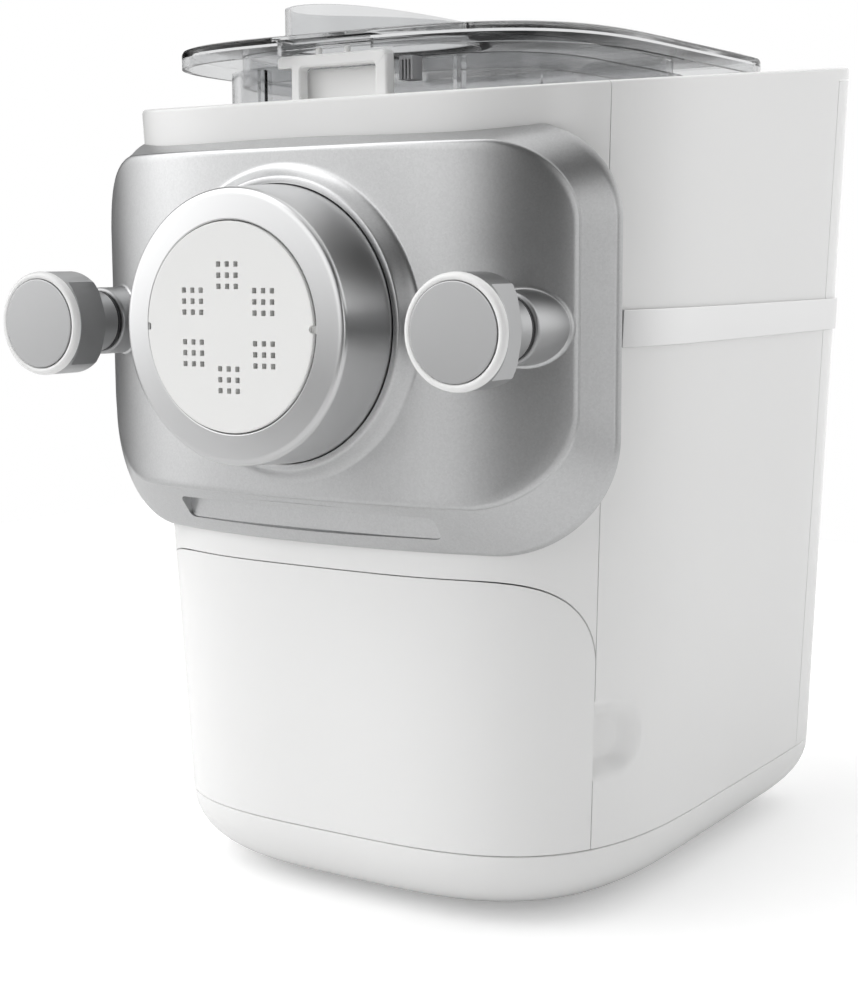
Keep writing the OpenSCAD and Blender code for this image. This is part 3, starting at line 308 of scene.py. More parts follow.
def together(drawings):
    """Several drawings as one."""
    whole = bmesh.new()
    for bm in drawings:
        part = bpy.data.meshes.new("part")
        bm.to_mesh(part)
        bm.free()
        whole.from_mesh(part)
        bpy.data.meshes.remove(part)
    return whole


def lathe(profile, centre, axis="Y", segments=128):
    """Turns a closed or open chain of (radius, depth) points about an axis through centre."""
    bm = bmesh.new()
    chain = [bm.verts.new((r, 0, d)) for r, d in profile]
    for a, b in zip(chain, chain[1:]):
        bm.edges.new((a, b))
    if profile[0][0] > 0:
        bm.edges.new((chain[-1], chain[0]))
    bmesh.ops.spin(bm, geom=bm.verts[:] + bm.edges[:], cent=(0, 0, 0), axis=(0, 0, 1),
                   angle=2 * math.pi, steps=segments, use_merge=True)
    bmesh.ops.remove_doubles(bm, verts=bm.verts, dist=0.0001)
    bmesh.ops.recalc_face_normals(bm, faces=bm.faces)
    if axis == "Y":
        moved(bm, Matrix.Rotation(-math.pi / 2, 4, "X"))
    return moved(bm, centre)


def round_tool(centre, radius, length, axis="Y", segments=96):
    """A cylinder that starts at centre and runs along an axis, as a cutting tool."""
    return lathe([(0, 0), (radius, 0), (radius, length), (0, length)], centre, axis, segments)


def finish_piece(obj, body, material, stands_for=(), edge=0.0, steps=3, sharp=32):
    """Rounds the edges, smooths the shading, gives the material and fixes the piece to its body."""
    obj.data.materials.clear()
    obj.data.materials.append(material)
    for p in obj.data.polygons:
        p.use_smooth = True
        p.material_index = 0
    if edge:
        soften = obj.modifiers.new("edge", "BEVEL")
        soften.width = edge * 0.001
        soften.segments = steps
        soften.limit_method = "ANGLE"
        soften.angle_limit = math.radians(sharp)
        soften.use_clamp_overlap = True
    obj.data.set_sharp_from_angle(angle=math.radians(sharp + 8))
    weigh = obj.modifiers.new("shading", "WEIGHTED_NORMAL")
    weigh.keep_sharp = True
    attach(obj, body)
    if stands_for:
        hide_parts(*stands_for)
    return obj


def cloudy(tree, where, fineness, detail):
    """Noise that lies fixed in the piece."""
    noise = tree.nodes.new("ShaderNodeTexNoise")
    noise.inputs["Scale"].default_value = fineness
    noise.inputs["Detail"].default_value = detail
    tree.links.new(where, noise.inputs["Vector"])
    return noise.outputs["Fac"]


def between(tree, share, low, high):
    """A value that runs from low to high with share."""
    span = tree.nodes.new("ShaderNodeMapRange")
    span.inputs["To Min"].default_value = low
    span.inputs["To Max"].default_value = high
    tree.links.new(share, span.inputs["Value"])
    return span.outputs["Result"]


def dimple(tree, skin, height, strength, distance):
    """Gives a surface a fine relief."""
    bump = tree.nodes.new("ShaderNodeBump")
    bump.inputs["Strength"].default_value = strength
    bump.inputs["Distance"].default_value = distance
    tree.links.new(height, bump.inputs["Height"])
    tree.links.new(bump.outputs["Normal"], skin.inputs["Normal"])


def moulded(name, colour, roughness, grain=0.0, grain_size=0.0004, mottle=0.02, metal=0.0,
            stretch=(1, 1, 1)):
    """Plastic, paint or metal: a base colour with faint mottling, uneven gloss and a fine grain."""
    material = bpy.data.materials.new(name)
    material.use_nodes = True
    tree = material.node_tree
    skin = tree.nodes["Principled BSDF"]
    skin.inputs["Metallic"].default_value = metal
    where = tree.nodes.new("ShaderNodeTexCoord")
    spread = tree.nodes.new("ShaderNodeMapping")
    spread.inputs["Scale"].default_value = stretch
    tree.links.new(where.outputs["Object"], spread.inputs["Vector"])
    cloud = cloudy(tree, spread.outputs["Vector"], 22, 3)
    tint = tree.nodes.new("ShaderNodeMix")
    tint.data_type = "RGBA"
    tint.inputs["A"].default_value = (*[c * (1 - mottle) for c in colour], 1)
    tint.inputs["B"].default_value = (*[min(1, c * (1 + mottle)) for c in colour], 1)
    tree.links.new(cloud, tint.inputs["Factor"])
    tree.links.new(tint.outputs["Result"], skin.inputs["Base Color"])
    tree.links.new(between(tree, cloud, roughness * 0.88, roughness * 1.12), skin.inputs["Roughness"])
    if grain:
        dimple(tree, skin, cloudy(tree, spread.outputs["Vector"], 1 / grain_size, 2), grain, 0.0001)
    return material


def dress(material, *names):
    """Gives a material to pieces whose shape is taken as it stands."""
    for name in names:
        for slot in nodes[name].material_slots:
            slot.material = material


white_gloss = moulded("white_gloss", (0.88, 0.88, 0.875), 0.24, grain=0.03, grain_size=0.003, mottle=0.006)


def pan_ring(height, inset):
    return lambda turn: outline(turn, height, inset)


bowl_stations = []
for step in range(13):
    angle = math.radians(7.5 * step)
    bowl_stations.append(pan_ring(foot_height + (pan_rim - 1 - foot_height) * (1 - math.cos(angle)),
                                  pan_round * (1 - math.sin(angle))))
bowl_stations += [pan_ring(pan_rim - 0.3, 0), pan_ring(pan_rim, 0.35), pan_ring(pan_rim, 3), pan_ring(8, 20)]
base_bowl = settle(stack(bowl_stations), "base_bowl")
screw_low, screw_high = [corner * 1000 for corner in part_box("case_screws")]
screw_head = 3.4
screw_spots = [(x, y) for x in (screw_low.x + screw_head, screw_high.x - screw_head)
               for y in (screw_low.y + screw_head, screw_high.y - screw_head)]
carve(base_bowl, together([round_tool((x, y, 2), screw_head + 0.3, 4.4, "Z", 32) for x, y in screw_spots]))
floor_vents = [moved(plate(3, 40, 8, 1.4), (8 * k, 45, 1)) for k in range(-4, 5)]
carve(base_bowl, together(floor_vents))
finish_piece(base_bowl, "housing", white_gloss, ["base_pan"], edge=0.3)

# ---- Feet, screws and cord entry ---------------------------------------------------------------
# Four soft rubber feet pressed into the pan, plated steel screws that hold it, and the rubber bush
# of the mains entry in the rear wall.
soft_rubber = moulded("soft_rubber", (0.045, 0.045, 0.047), 0.75, grain=0.5, grain_size=0.0006, mottle=0.15)
plated_steel = moulded("plated_steel", (0.62, 0.62, 0.64), 0.3, grain=0.15, grain_size=0.0012, mottle=0.06,
                       metal=1)
dress(soft_rubber, "rubber_feet", "cord_gland", "shaft_seal")
dress(plated_steel, "case_screws", "intermediate_pin")

# ---- Covers of the housing ---------------------------------------------------------------------
# Glossy white mouldings, 3 mm thick: a front cover, two side covers and a rear cover. They taper
# towards the table, meet at thin seams with rounded edges, and end in a sloping top edge.
cover_wall = 3.0
gap = 0.4
seam_low, seam_lean = -58.0, 8.5
drawer_edge, drawer_corner = 125.0, 32.0
rear_cover_depth, top_strip = 30.0, 5.0


def front_seam(z):
    return seam_low - seam_lean * z / edge_height


def cover_ring():
    """The whole wall of the covers, with a rounded lip along its top edge."""
    return stack([
        lambda t: outline(t, pan_rim + gap, 0),
        lambda t: rim_point(t, 1.6, 0),
        lambda t: rim_point(t, 0.5, 0.3),
        lambda t: rim_point(t, 0, 1.0),
        lambda t: rim_point(t, 0, 2.2),
        lambda t: rim_point(t, 0.6, cover_wall),
        lambda t: outline(t, pan_rim + gap, cover_wall)], "joined")


def prism(profile, low, high, axis):
    """Block with the given outline across an axis, from low to high along it."""
    lay = {"X": lambda a, b: (low, a, b), "Y": lambda a, b: (a, low, b), "Z": lambda a, b: (a, b, low)}[axis]
    bm = bmesh.new()
    bm.faces.new([bm.verts.new(lay(a, b)) for a, b in profile])
    return thickened(bm, [high - low if name == axis else 0 for name in "XYZ"])


def side_block(profile):
    """A tool with the given outline as seen from the side, wider than the machine."""
    return prism(profile, -140, 140, "X")


def front_outline(grow):
    """Side view of all that lies in front of the leaning front seam."""
    return [(-200, -5), (front_seam(-5) + grow, -5), (front_seam(400) + grow, 400), (-200, 400)]


def drawer_outline(grow):
    """Side view of the drawer's front, with a round upper corner."""
    r = drawer_corner
    z = drawer_edge + grow - r
    y = front_seam(z) + grow - r
    turns = [math.radians(a) for a in range(0, 91, 5)]
    arc = [(y + r * math.cos(a), z + r * math.sin(a)) for a in turns]
    return [(-200, -5), (front_seam(-5) + grow, -5)] + arc + [(-200, z + r)]


def rear_outline(grow):
    """Side view of what lies behind the rear seam, below the strip along the top edge."""
    low = housing_rear - rear_lean - rear_cover_depth - grow
    high = housing_rear - rear_cover_depth - grow
    drop = top_strip - grow
    return [(low, -1), (high, top_edge(high) - drop), (200, top_edge(200) - drop), (200, -1)]


front_cover = settle(cover_ring(), "front_cover")
carve(front_cover, side_block(front_outline(-gap / 2)), "INTERSECT")
carve(front_cover, side_block(drawer_outline(gap / 2)))
carve(front_cover, together([round_tool((x, -143, 210), r, 86) for x, r in ((0, 33.5), (-85, 8), (85, 8))]))
finish_piece(front_cover, "housing", white_gloss, ["front_shell"], edge=0.4)

drawer_face = settle(cover_ring(), "drawer_face")
carve(drawer_face, side_block(drawer_outline(-gap / 2)), "INTERSECT")
finish_piece(drawer_face, "drawer", white_gloss, ["drawer_front"], edge=0.4)

vent_rows, vent_height, vent_pitch = (90, 126), 26, 8
cord_entry_x, cord_entry_z = 58.0, 52.0
rear_panel = settle(cover_ring(), "rear_panel")
carve(rear_panel, side_block(rear_outline(-gap / 2)), "INTERSECT")
upright = Matrix.Rotation(math.pi / 2, 4, "X")
carve(rear_panel, together([
    moved(plate(3, vent_height, 60, 1.4), upright, (vent_pitch * k, 180, z + vent_height / 2))
    for k in range(-7, 8) for z in vent_rows]))
carve(rear_panel, round_tool((cord_entry_x, 110, cord_entry_z), 8, 60))
finish_piece(rear_panel, "housing", white_gloss, ["rear_cover"], edge=0.4)

# The finger recess is a soft D-shaped hollow in each side cover, deepest at the drawer's edge.
recess_height, recess_radius, recess_reach, recess_depth = 67.0, 15.0, 23.0, 6.3


def recess(y, z):
    """Depth of the finger recess at a place on the side of the housing."""
    back = y - front_seam(z)
    round_part = max(0, back - (recess_reach - recess_radius))
    inside = recess_radius - math.hypot(round_part, z - recess_height)
    share = min(1, max(0, inside / 8))
    share = share * share * (3 - 2 * share)
    return share * recess_depth * (0.55 + 0.45 * (1 - min(1, max(0, back / recess_reach))))


for side, side_name in ((-1, "left"), (1, "right")):
    cover = settle(cover_ring(), "side_cover_" + side_name)
    inner, outer = sorted((side * gap / 2, side * 150))
    carve(cover, block((inner, -200, 0), (outer, 200, 400)), "INTERSECT")
    carve(cover, side_block(front_outline(gap / 2)))
    carve(cover, side_block(rear_outline(gap / 2)))
    skin = lifted(cover)
    for facing, first, last in (((0, 0, 1), 50, 84), ((0, 1, 0), -62, -34)):
        for at in range(first, last + 1):
            region = [f for f in skin.faces if side * f.calc_center_median().x > 60
                      and min(v.co.y for v in f.verts) < -33 and max(v.co.z for v in f.verts) > 49
                      and min(v.co.z for v in f.verts) < 85]
            touched = list({g for f in region for g in list(f.verts) + list(f.edges)})
            bmesh.ops.bisect_plane(skin, geom=touched + region, dist=0.0001,
                                   plane_co=[at * n for n in facing], plane_no=facing)
    for v in skin.verts:
        if side * v.co.x > 60 and v.co.y < -30:
            v.co.x -= side * recess(v.co.y, v.co.z)
    cover = settle(skin, "side_cover_" + side_name)
    finish_piece(cover, "housing", white_gloss, ["side_shell_" + side_name], edge=0.4)

# ---- Trim band ---------------------------------------------------------------------------------
# Thin strip with a satin chrome face, glued into the housing's side from the front panel round the
# rear corners at the height of the extruder. Its face is plain.
band_low, band_high, band_proud, band_front = 202.0, 214.5, 0.9, -58.0
satin_chrome = moulded("satin_chrome", (0.64, 0.64, 0.64), 0.32, grain=0.1, grain_size=0.0008, mottle=0.02,
                       metal=1)
trim_band = settle(stack([
    lambda t: outline(t, band_low, -0.1),
    lambda t: outline(t, band_low, -band_proud),
    lambda t: outline(t, band_high, -band_proud),
    lambda t: outline(t, band_high, -0.1)], "joined"), "side_band")
carve(trim_band, block((-150, -300, 0), (150, band_front, 400)))
finish_piece(trim_band, "housing", satin_chrome, ["trim_band"], edge=0.25)

# ---- Front panel -------------------------------------------------------------------------------
# Moulding in silver lacquer that covers the extruder's fixing: a face that bows back to its sides, a
# wide bevel round it, a raised collar for the cap ring, two bosses for the knobs and a grip slot.
axis_height, disc_plane = 210.0, -143.0
face_size = (98.5, 58.5, 58.5, 26, 32)
rim_size = (108, 65, 76, 31, 40)
back_size = (99, 59, 70, 26, 34)
face_setback, face_bow, face_power = 30.0, 23.0, 3.5
rim_setback, rim_bow = 43.0, 22.0
back_setback, back_bow = 55.0, 25.0
collar_bore, collar_foot, collar_front = 46.8, 53.6, -117.3
panel_wall = 2.4


def rounded_frame(turn, size, inset=0):
    """Where a ray from the extruder's axis meets a frame with rounded corners."""
    w, up, down, r_up, r_low = size
    h, r = (up, r_up) if math.sin(turn) > 0 else (down, r_low)
    w, h = w - inset, h - inset
    c, s = math.cos(turn), math.sin(turn)
    reach = min(w / max(abs(c), 0.001), h / max(abs(s), 0.001))
    if abs(c) * reach > w - r and abs(s) * reach > h - r:
        along = abs(c) * (w - r) + abs(s) * (h - r)
        reach = along + math.sqrt(max(0, along ** 2 - (w - r) ** 2 - (h - r) ** 2 + r ** 2))
    return c * reach, s * reach


def face_depth(x):
    return disc_plane + face_setback + face_bow * (abs(x) / face_size[0]) ** face_power


def face_ring(share, inset=0, sink=0):
    """Ring on the bowed face, from the collar's foot (share 0) to the face's edge (share 1)."""
    def place(turn):
        x0, z0 = collar_foot * math.cos(turn), collar_foot * math.sin(turn)
        x1, z1 = rounded_frame(turn, face_size, inset)
        x, z = x0 + (x1 - x0) * share, z0 + (z1 - z0) * share
        return Vector((x, face_depth(x) + sink, axis_height + z))
    return place


def collar_ring(radius, y):
    return lambda turn: Vector((radius * math.cos(turn), y, axis_height + radius * math.sin(turn)))


def fillet_ring(share):
    """Ring on the hollow fillet between the collar's lip and the bowed face."""
    def place(turn):
        radius = 49.4 + (collar_foot - 49.4) * share
        x = radius * math.cos(turn)
        foot = face_depth(x)
        lift = (foot - collar_front - 0.8) * (1 - math.sin(math.pi / 2 * share))
        return Vector((x, foot - lift, axis_height + radius * math.sin(turn)))
    return place


def edge_ring(size, setback, bow, inset=0):
    def place(turn):
        x, z = rounded_frame(turn, size, inset)
        return Vector((x, disc_plane + setback + bow * (abs(x) / size[0]) ** 2, axis_height + z))
    return place


def lip_ring(out, sink):
    """Ring round the face's edge, which stands a little proud of the bevel."""
    def place(turn):
        x, z = rounded_frame(turn, face_size, -out)
        return Vector((x, face_depth(x * face_size[0] / (face_size[0] + out)) + sink, axis_height + z))
    return place


face_steps = 12
panel_stations = [collar_ring(collar_bore, -104)]
panel_stations += [collar_ring(collar_bore + out, collar_front + sink)
                   for out, sink in ((-0.3, 0.7), (-0.1, 0.2), (0.5, 0), (1.7, 0), (2.2, 0.25))]
panel_stations += [fillet_ring(k / 8) for k in range(8)]
panel_stations += [face_ring(k / face_steps, 1.1) for k in range(face_steps + 1)]
panel_stations += [lip_ring(-0.4, 0.12), lip_ring(0.1, 0.5), lip_ring(0.4, 1.1), lip_ring(0.6, 2.0)]
panel_stations += [edge_ring(rim_size, rim_setback + back, rim_bow, inset)
                   for back, inset in ((-1.9, 1.2), (-0.5, 0.4), (0.6, 0))]
panel_stations += [edge_ring(back_size, back_setback, back_bow),
                   edge_ring(back_size, back_setback, back_bow, panel_wall),
                   edge_ring(rim_size, rim_setback + panel_wall * 0.6, rim_bow, panel_wall),
                   face_ring(1, panel_wall * 0.8, panel_wall),
                   face_ring(0.5, panel_wall * 0.8, panel_wall),
                   face_ring(0, 0, panel_wall),
                   collar_ring(collar_bore + 2, -104)]


def flaked(name, colour, roughness, fleck, fleck_size):
    """Metallic lacquer: tiny flakes that differ a little in brightness and tilt."""
    material = moulded(name, colour, roughness, grain=0.22, grain_size=0.00045, mottle=0.02, metal=1)
    tree = material.node_tree
    skin = tree.nodes["Principled BSDF"]
    tint = skin.inputs["Base Color"].links[0].from_node
    flakes = tree.nodes.new("ShaderNodeTexVoronoi")
    flakes.inputs["Scale"].default_value = 1 / fleck_size
    tree.links.new(tree.nodes["Mapping"].outputs["Vector"], flakes.inputs["Vector"])
    shade = tree.nodes.new("ShaderNodeVectorMath")
    shade.operation = "SCALE"
    tree.links.new(tint.outputs["Result"], shade.inputs["Vector"])
    tree.links.new(between(tree, flakes.outputs["Color"], 1 - fleck, 1 + fleck), shade.inputs["Scale"])
    tree.links.new(shade.outputs["Vector"], skin.inputs["Base Color"])
    return material


silver_lacquer = flaked("silver_lacquer", (0.54, 0.543, 0.546), 0.35, 0.05, 0.0006)


slot_width, slot_height, slot_drop, slot_step = 108, 10.2, 66.7, 0.9


def slot_tool(grow, depth, front):
    """A long rounded block laid along the lower bevel, bent with the panel's bow. The one that cuts
    the slot is a wedge, deep along its upper edge."""
    bm = plate(slot_width + 2 * grow, slot_height + 2 * grow, depth + front, 2.4 + grow)
    for k in range(1, 24):
        bmesh.ops.bisect_plane(bm, geom=bm.verts[:] + bm.edges[:] + bm.faces[:], dist=0.0001,
                               plane_co=(slot_width * (k / 24 - 0.5), 0, 0), plane_no=(1, 0, 0))
    for v in bm.verts:
        if v.co.z < 0.001 and not grow:
            v.co.z = (depth - slot_step) * (0.5 - v.co.y / slot_height)
    bevel_drop, bevel_back = rim_size[2] - face_size[2], rim_setback - face_setback
    slope = math.atan2(bevel_drop, bevel_back)
    on_bevel = face_setback + bevel_back * (slot_drop - face_size[2]) / bevel_drop
    moved(bm, (0, 0, -depth), Matrix.Rotation(math.pi - slope, 4, "X"))
    moved(bm, (0, disc_plane + on_bevel, axis_height - slot_drop))
    for v in bm.verts:
        face_share, rim_share = abs(v.co.x) / face_size[0], v.co.x / rim_size[0]
        v.co.y += 0.5 * (face_bow * face_share ** face_power + rim_bow * rim_share ** 2)
    return bm


def housing_block(grow):
    """The housing as a solid, grown on all sides, as a cutting tool."""
    return stack([lambda t: outline(t, 0, -grow), lambda t: outline(t, 340, -grow)])


front_plate = settle(stack(panel_stations, "joined", 480), "front_plate")
carve(front_plate, slot_tool(1.6, 8.0, -0.8), "UNION")
carve(front_plate, slot_tool(0, 6.8, 6))
carve(front_plate, housing_block(0.4))
finish_piece(front_plate, "panel", silver_lacquer, ["front_panel"], sharp=37)

# ---- Knob bosses -------------------------------------------------------------------------------
# Two tubes in the same lacquer, polished, that grow out of the panel through a small hollow; their
# lacquer is given a darker colour than the panel's, which is painted shade. The knobs bear on their front
# ends.
boss_x, boss_radius, boss_front = 85.0, 12.0, -112.0
# The bosses' lacquer is darker than the panel's silver lacquer: painted shade.
shaded_boss_lacquer = moulded("shaded_boss_lacquer", (0.38, 0.382, 0.385), 0.38, grain=0.06, grain_size=0.002,
                           mottle=0.03, metal=1)


def boss_foot(side, radius, lift):
    """Ring round a boss that follows the bowed face."""
    def place(turn):
        x = side * boss_x + radius * math.cos(turn)
        return Vector((x, face_depth(x) - lift, axis_height + radius * math.sin(turn)))
    return place


boss_profile = ((7.3, 26), (7.3, 0.5), (7.8, 0), (10.8, 0), (11.5, 0.2), (11.85, 0.6), (boss_radius, 1.4),
                (boss_radius, 52), (10, 52), (10, 26))
for side, side_name in ((-1, "left"), (1, "right")):
    boss = settle(lathe(boss_profile, (side * boss_x, boss_front, axis_height)), "knob_boss_" + side_name)
    carve(boss, housing_block(0.4))
    finish_piece(boss, "panel", shaded_boss_lacquer)
    hollow = [boss_foot(side, 11.9, -1), boss_foot(side, 11.9, 1.1)]
    hollow += [boss_foot(side, 13.1 - 1.2 * math.sin(math.radians(a)), 1.1 - 1.1 * math.cos(math.radians(a)))
               for a in range(75, -1, -15)]
    hollow += [boss_foot(side, 13.1, -1)]
    finish_piece(settle(stack(hollow, "joined", 120), "boss_hollow_" + side_name), "panel",
                 silver_lacquer)

# ---- Cap ring and shaping disc -----------------------------------------------------------------
# Turned ring with a satin silver finish, screwed on to the extruder's tube. It holds the shaping
# disc, a moulding with six groups of nine square holes and two notches for turning it.
ring_face = -142.2
bright_satin = moulded("bright_satin", (0.62, 0.622, 0.625), 0.3, grain=0.05, grain_size=0.001, mottle=0.01,
                       metal=1)
ring_profile = ((40.8, 2.6), (34.4, 2.6), (34.4, 0.35), (34.75, 0), (42.6, 0.55), (43.6, 0.75), (44.4, 1.2),
                (44.85, 1.9), (45, 2.8), (46.25, 22), (46.35, 27), (45, 27.2), (40.8, 24.5))
cap_ring = settle(lathe(ring_profile, (0, ring_face, axis_height), segments=192), "cap_ring_shell")
finish_piece(cap_ring, "cap", bright_satin, ["cap_ring"], edge=0.2, sharp=25)

disc_white = moulded("disc_white", (0.86, 0.86, 0.85), 0.38, grain=0.1, grain_size=0.0008, mottle=0.008)
disc_radius, group_radius, hole_pitch, hole_side = 34.1, 16.8, 3.56, 1.8
disc_profile = ((0, 0), (disc_radius - 0.6, 0), (disc_radius - 0.15, 0.2), (disc_radius, 0.7),
                (disc_radius, 3.6), (40.2, 3.6), (40.2, 6.6), (8, 6.6), (8, 4.6), (4, 4.6), (4, 6.6),
                (0, 6.6))
disc_plate = settle(lathe(disc_profile, (0, disc_plane, axis_height), segments=160), "disc_plate")
hole_tools = []
for group in range(6):
    middle = Matrix.Rotation(math.radians(60 * group), 3, "Y") @ Vector((0, 0, group_radius))
    middle += Vector((0, disc_plane + 12, axis_height))
    hole_tools += [moved(plate(hole_side, hole_side, 20, 0.25, 2), upright,
                         middle + Vector((i * hole_pitch, 0, j * hole_pitch)))
                   for i in (-1, 0, 1) for j in (-1, 0, 1)]
notch_tools = [round_tool((x, disc_plane - 1, axis_height), 1.3, 2.6, segments=32)
               for x in (0.4 - disc_radius, disc_radius - 0.4)]
carve(disc_plate, together(hole_tools + notch_tools))

# The flat faces that the holes cut up are merged, so that they shade evenly.
evened = lifted(disc_plate)
bmesh.ops.dissolve_limit(evened, angle_limit=0.0004, verts=evened.verts, edges=evened.edges)
disc_plate = settle(evened, "disc_plate")
finish_piece(disc_plate, "disc", disc_white, ["shaping_disc"], edge=0.15, steps=2)

# ---- Lock knobs --------------------------------------------------------------------------------
# Silver lacquered grips with two flats for the fingers, a glossy white rim and a satin face cap. The
# grips' lacquer is darker than the panel's, which is painted shade. A dark washer keeps each from
# scraping its boss, and its spindle is threaded on to a lock rod.
knob_front, knob_radius, neck_radius = -142.6, 18.0, 10.8
# The grips' lacquer is darker than the panel's silver lacquer: painted shade.
shaded_knob_lacquer = moulded("shaded_knob_lacquer", (0.37, 0.372, 0.375), 0.4, grain=0.06, grain_size=0.0012, mottle=0.02,
                       metal=1)
satin_cap = moulded("satin_cap", (0.45, 0.452, 0.455), 0.4, grain=0.08, grain_size=0.0009, mottle=0.02,
                    metal=1)
dark_washer = moulded("dark_washer", (0.03, 0.03, 0.032), 0.5, grain=0.2, grain_size=0.0006, mottle=0.1)
rim_profile = ((0, 1.7), (15.4, 1.7), (15.4, 0.8), (15.6, 0.45), (16, 0.2), (16.6, 0.1), (17.2, 0.35),
               (17.65, 0.85), (17.9, 1.6), (knob_radius, 2.4), (0, 2.4))
grip_profile = ((0, 2.4), (17.7, 2.4), (17.9, 2.7), (17.9, 16.4), (17.5, 17.2), (15.3, 19.5), (12.4, 21.2),
                (neck_radius, 22.4), (neck_radius - 0.2, 24), (neck_radius, 28.9), (10.5, 29.2), (7, 29.2),
                (7, 49), (4.3, 49), (4.3, 21), (0, 21))
cap_profile = ((0, 0), (14.9, 0), (15.25, 0.15), (15.3, 0.5), (15.3, 1.65), (0, 1.65))
flat_outline = ((18.5, 2.7), (17.6, 2.9), (neck_radius + 0.6, 4.1), (neck_radius, 4.6), (neck_radius, 40),
                (18.5, 40))
for side, side_name in ((-1, "left"), (1, "right")):
    centre = (side * boss_x, knob_front, axis_height)
    knob = side_name + "_knob"
    rim = settle(lathe(rim_profile, centre, segments=160), "knob_rim_" + side_name)
    finish_piece(rim, knob, white_gloss)
    grip = settle(lathe(grip_profile, centre, segments=160), "knob_grip_" + side_name)
    for edge_side in (-1, 1):
        flat = prism([(edge_side * x, y) for x, y in flat_outline], -20, 20, "Z")
        carve(grip, moved(flat, centre))
    finish_piece(grip, knob, shaded_knob_lacquer, ["knob_" + side_name], edge=0.35)
    cap = settle(lathe(cap_profile, centre, segments=160), "knob_cap_" + side_name)
    finish_piece(cap, knob, satin_cap, ["knob_face_" + side_name])
dress(dark_washer, "knob_washer_left", "knob_washer_right")

# ---- Drawer tray -------------------------------------------------------------------------------
# White moulded tray for the shaping discs behind the drawer's front, on two rails. Four tongues at
# its front end hold the curved front.
satin_white = moulded("satin_white", (0.80, 0.80, 0.79), 0.42, grain=0.15, grain_size=0.0009, mottle=0.01)
rail_plastic = moulded("rail_plastic", (0.35, 0.35, 0.36), 0.4, grain=0.2, grain_size=0.0008, mottle=0.03)
tray_front, tray_back, tray_half = -77.5, -5.0, 80.0
tray_low, tray_high, tray_wall = 37.0, 113.0, 2.0


def inner_block(inset):
    """The space inside the covers, as a tool."""
    return stack([lambda t: outline(t, 20, inset), lambda t: outline(t, 200, inset)])


def tray_block(inset, top):
    """Box of the tray with rounded corners, cut to the curve of the housing."""
    length = tray_back - tray_front - 2 * inset
    box = settle(moved(plate(2 * (tray_half - inset), length, top - tray_low - inset, 5 - inset),
                       (0, (tray_front + tray_back) / 2, tray_low + inset)), "tray_box")
    carve(box, inner_block(cover_wall + 0.8 + inset), "INTERSECT")
    return box


drawer_tray = tray_block(0, tray_high)
carve(drawer_tray, lifted(tray_block(tray_wall, tray_high + 5)))
drawer_tray.name = "drawer_bin"
tongues = settle(together([block((40 * k - 4, -100, tray_low), (40 * k + 4, tray_front + 1, 97))
                           for k in (-1.5, -0.5, 0.5, 1.5)]), "tongues")
carve(tongues, inner_block(cover_wall + 0.1), "INTERSECT")
carve(drawer_tray, lifted(tongues), "UNION")
finish_piece(drawer_tray, "drawer", satin_white, ["drawer_tray"], edge=0.4)
dress(rail_plastic, "drawer_runners")

# ---- Mixing chamber ----------------------------------------------------------------------------
# Clear moulded trough that stands out of the top deck. The paddle turns in its round bottom, and the
# screw carries the dough into the extruder's tube through its front wall.
chamber_front, chamber_back, chamber_half, chamber_top = -73.0, 57.0, 72.5, 300.0
trough_radius, chamber_wall = 60.0, 2.6
tube_radius, seal_radius = 31.2, 10.0


def clear_moulding(name, tint, bend, density):
    """Clear plastic that darkens with thickness, its gloss broken by faint flow marks."""
    material = bpy.data.materials.new(name)
    material.use_nodes = True
    tree = material.node_tree
    skin = tree.nodes["Principled BSDF"]
    skin.inputs["Base Color"].default_value = (*tint, 1)
    skin.inputs["Transmission Weight"].default_value = 1
    skin.inputs["IOR"].default_value = bend
    where = tree.nodes.new("ShaderNodeTexCoord")
    flow = cloudy(tree, where.outputs["Object"], 35, 3)
    tree.links.new(between(tree, flow, 0.03, 0.09), skin.inputs["Roughness"])
    dimple(tree, skin, flow, 0.12, 0.0004)
    depth = tree.nodes.new("ShaderNodeVolumeAbsorption")
    depth.inputs["Color"].default_value = (0.5, 0.5, 0.5, 1)
    depth.inputs["Density"].default_value = density
    tree.links.new(depth.outputs["Volume"], tree.nodes["Material Output"].inputs["Volume"])
    return material


clear_chamber = clear_moulding("clear_chamber", (0.70, 0.705, 0.71), 1.3, 3)


def chamber_ring(height, inset):
    """Plan of the chamber: a bowed front, straight sides and a round-cornered back."""
    plan = (chamber_half - inset, chamber_front + inset, chamber_back - inset, 4, 9)
    return lambda turn: Vector((*squared_round(turn, *plan), height))


def trough_outline(inset, top):
    """Section of the chamber: a round trough under walls that lean outwards."""
    r = trough_radius - inset
    w = chamber_half - inset
    turns = [math.radians(a) for a in range(180, 361, 3)]
    arc = [(r * math.cos(a), axis_height + r * math.sin(a)) for a in turns]
    return arc + [(w, chamber_top), (w, top), (-w, top), (-w, chamber_top)]


def chamber_solid(inset, top):
    solid = settle(stack([chamber_ring(140, inset), chamber_ring(top, inset)]), "trough")
    carve(solid, prism(trough_outline(inset, top + 1), -90, 80, "Y"), "INTERSECT")
    return solid


clear_trough = chamber_solid(0, chamber_top)
ribs = together([block((x, -74, 284), (x + 2.8, -68, 299)) for x in (-40.4, 42.6)])
carve(clear_trough, ribs, "UNION")
carve(clear_trough, lifted(chamber_solid(chamber_wall, chamber_top + 5)))
carve(clear_trough, round_tool((0, chamber_front - 5, axis_height), tube_radius, 25))
carve(clear_trough, round_tool((0, chamber_back - 10, axis_height), seal_radius, 15))
clear_trough.name = "clear_trough"
finish_piece(clear_trough, "housing", clear_chamber, ["mixing_chamber"], edge=0.3, steps=2)

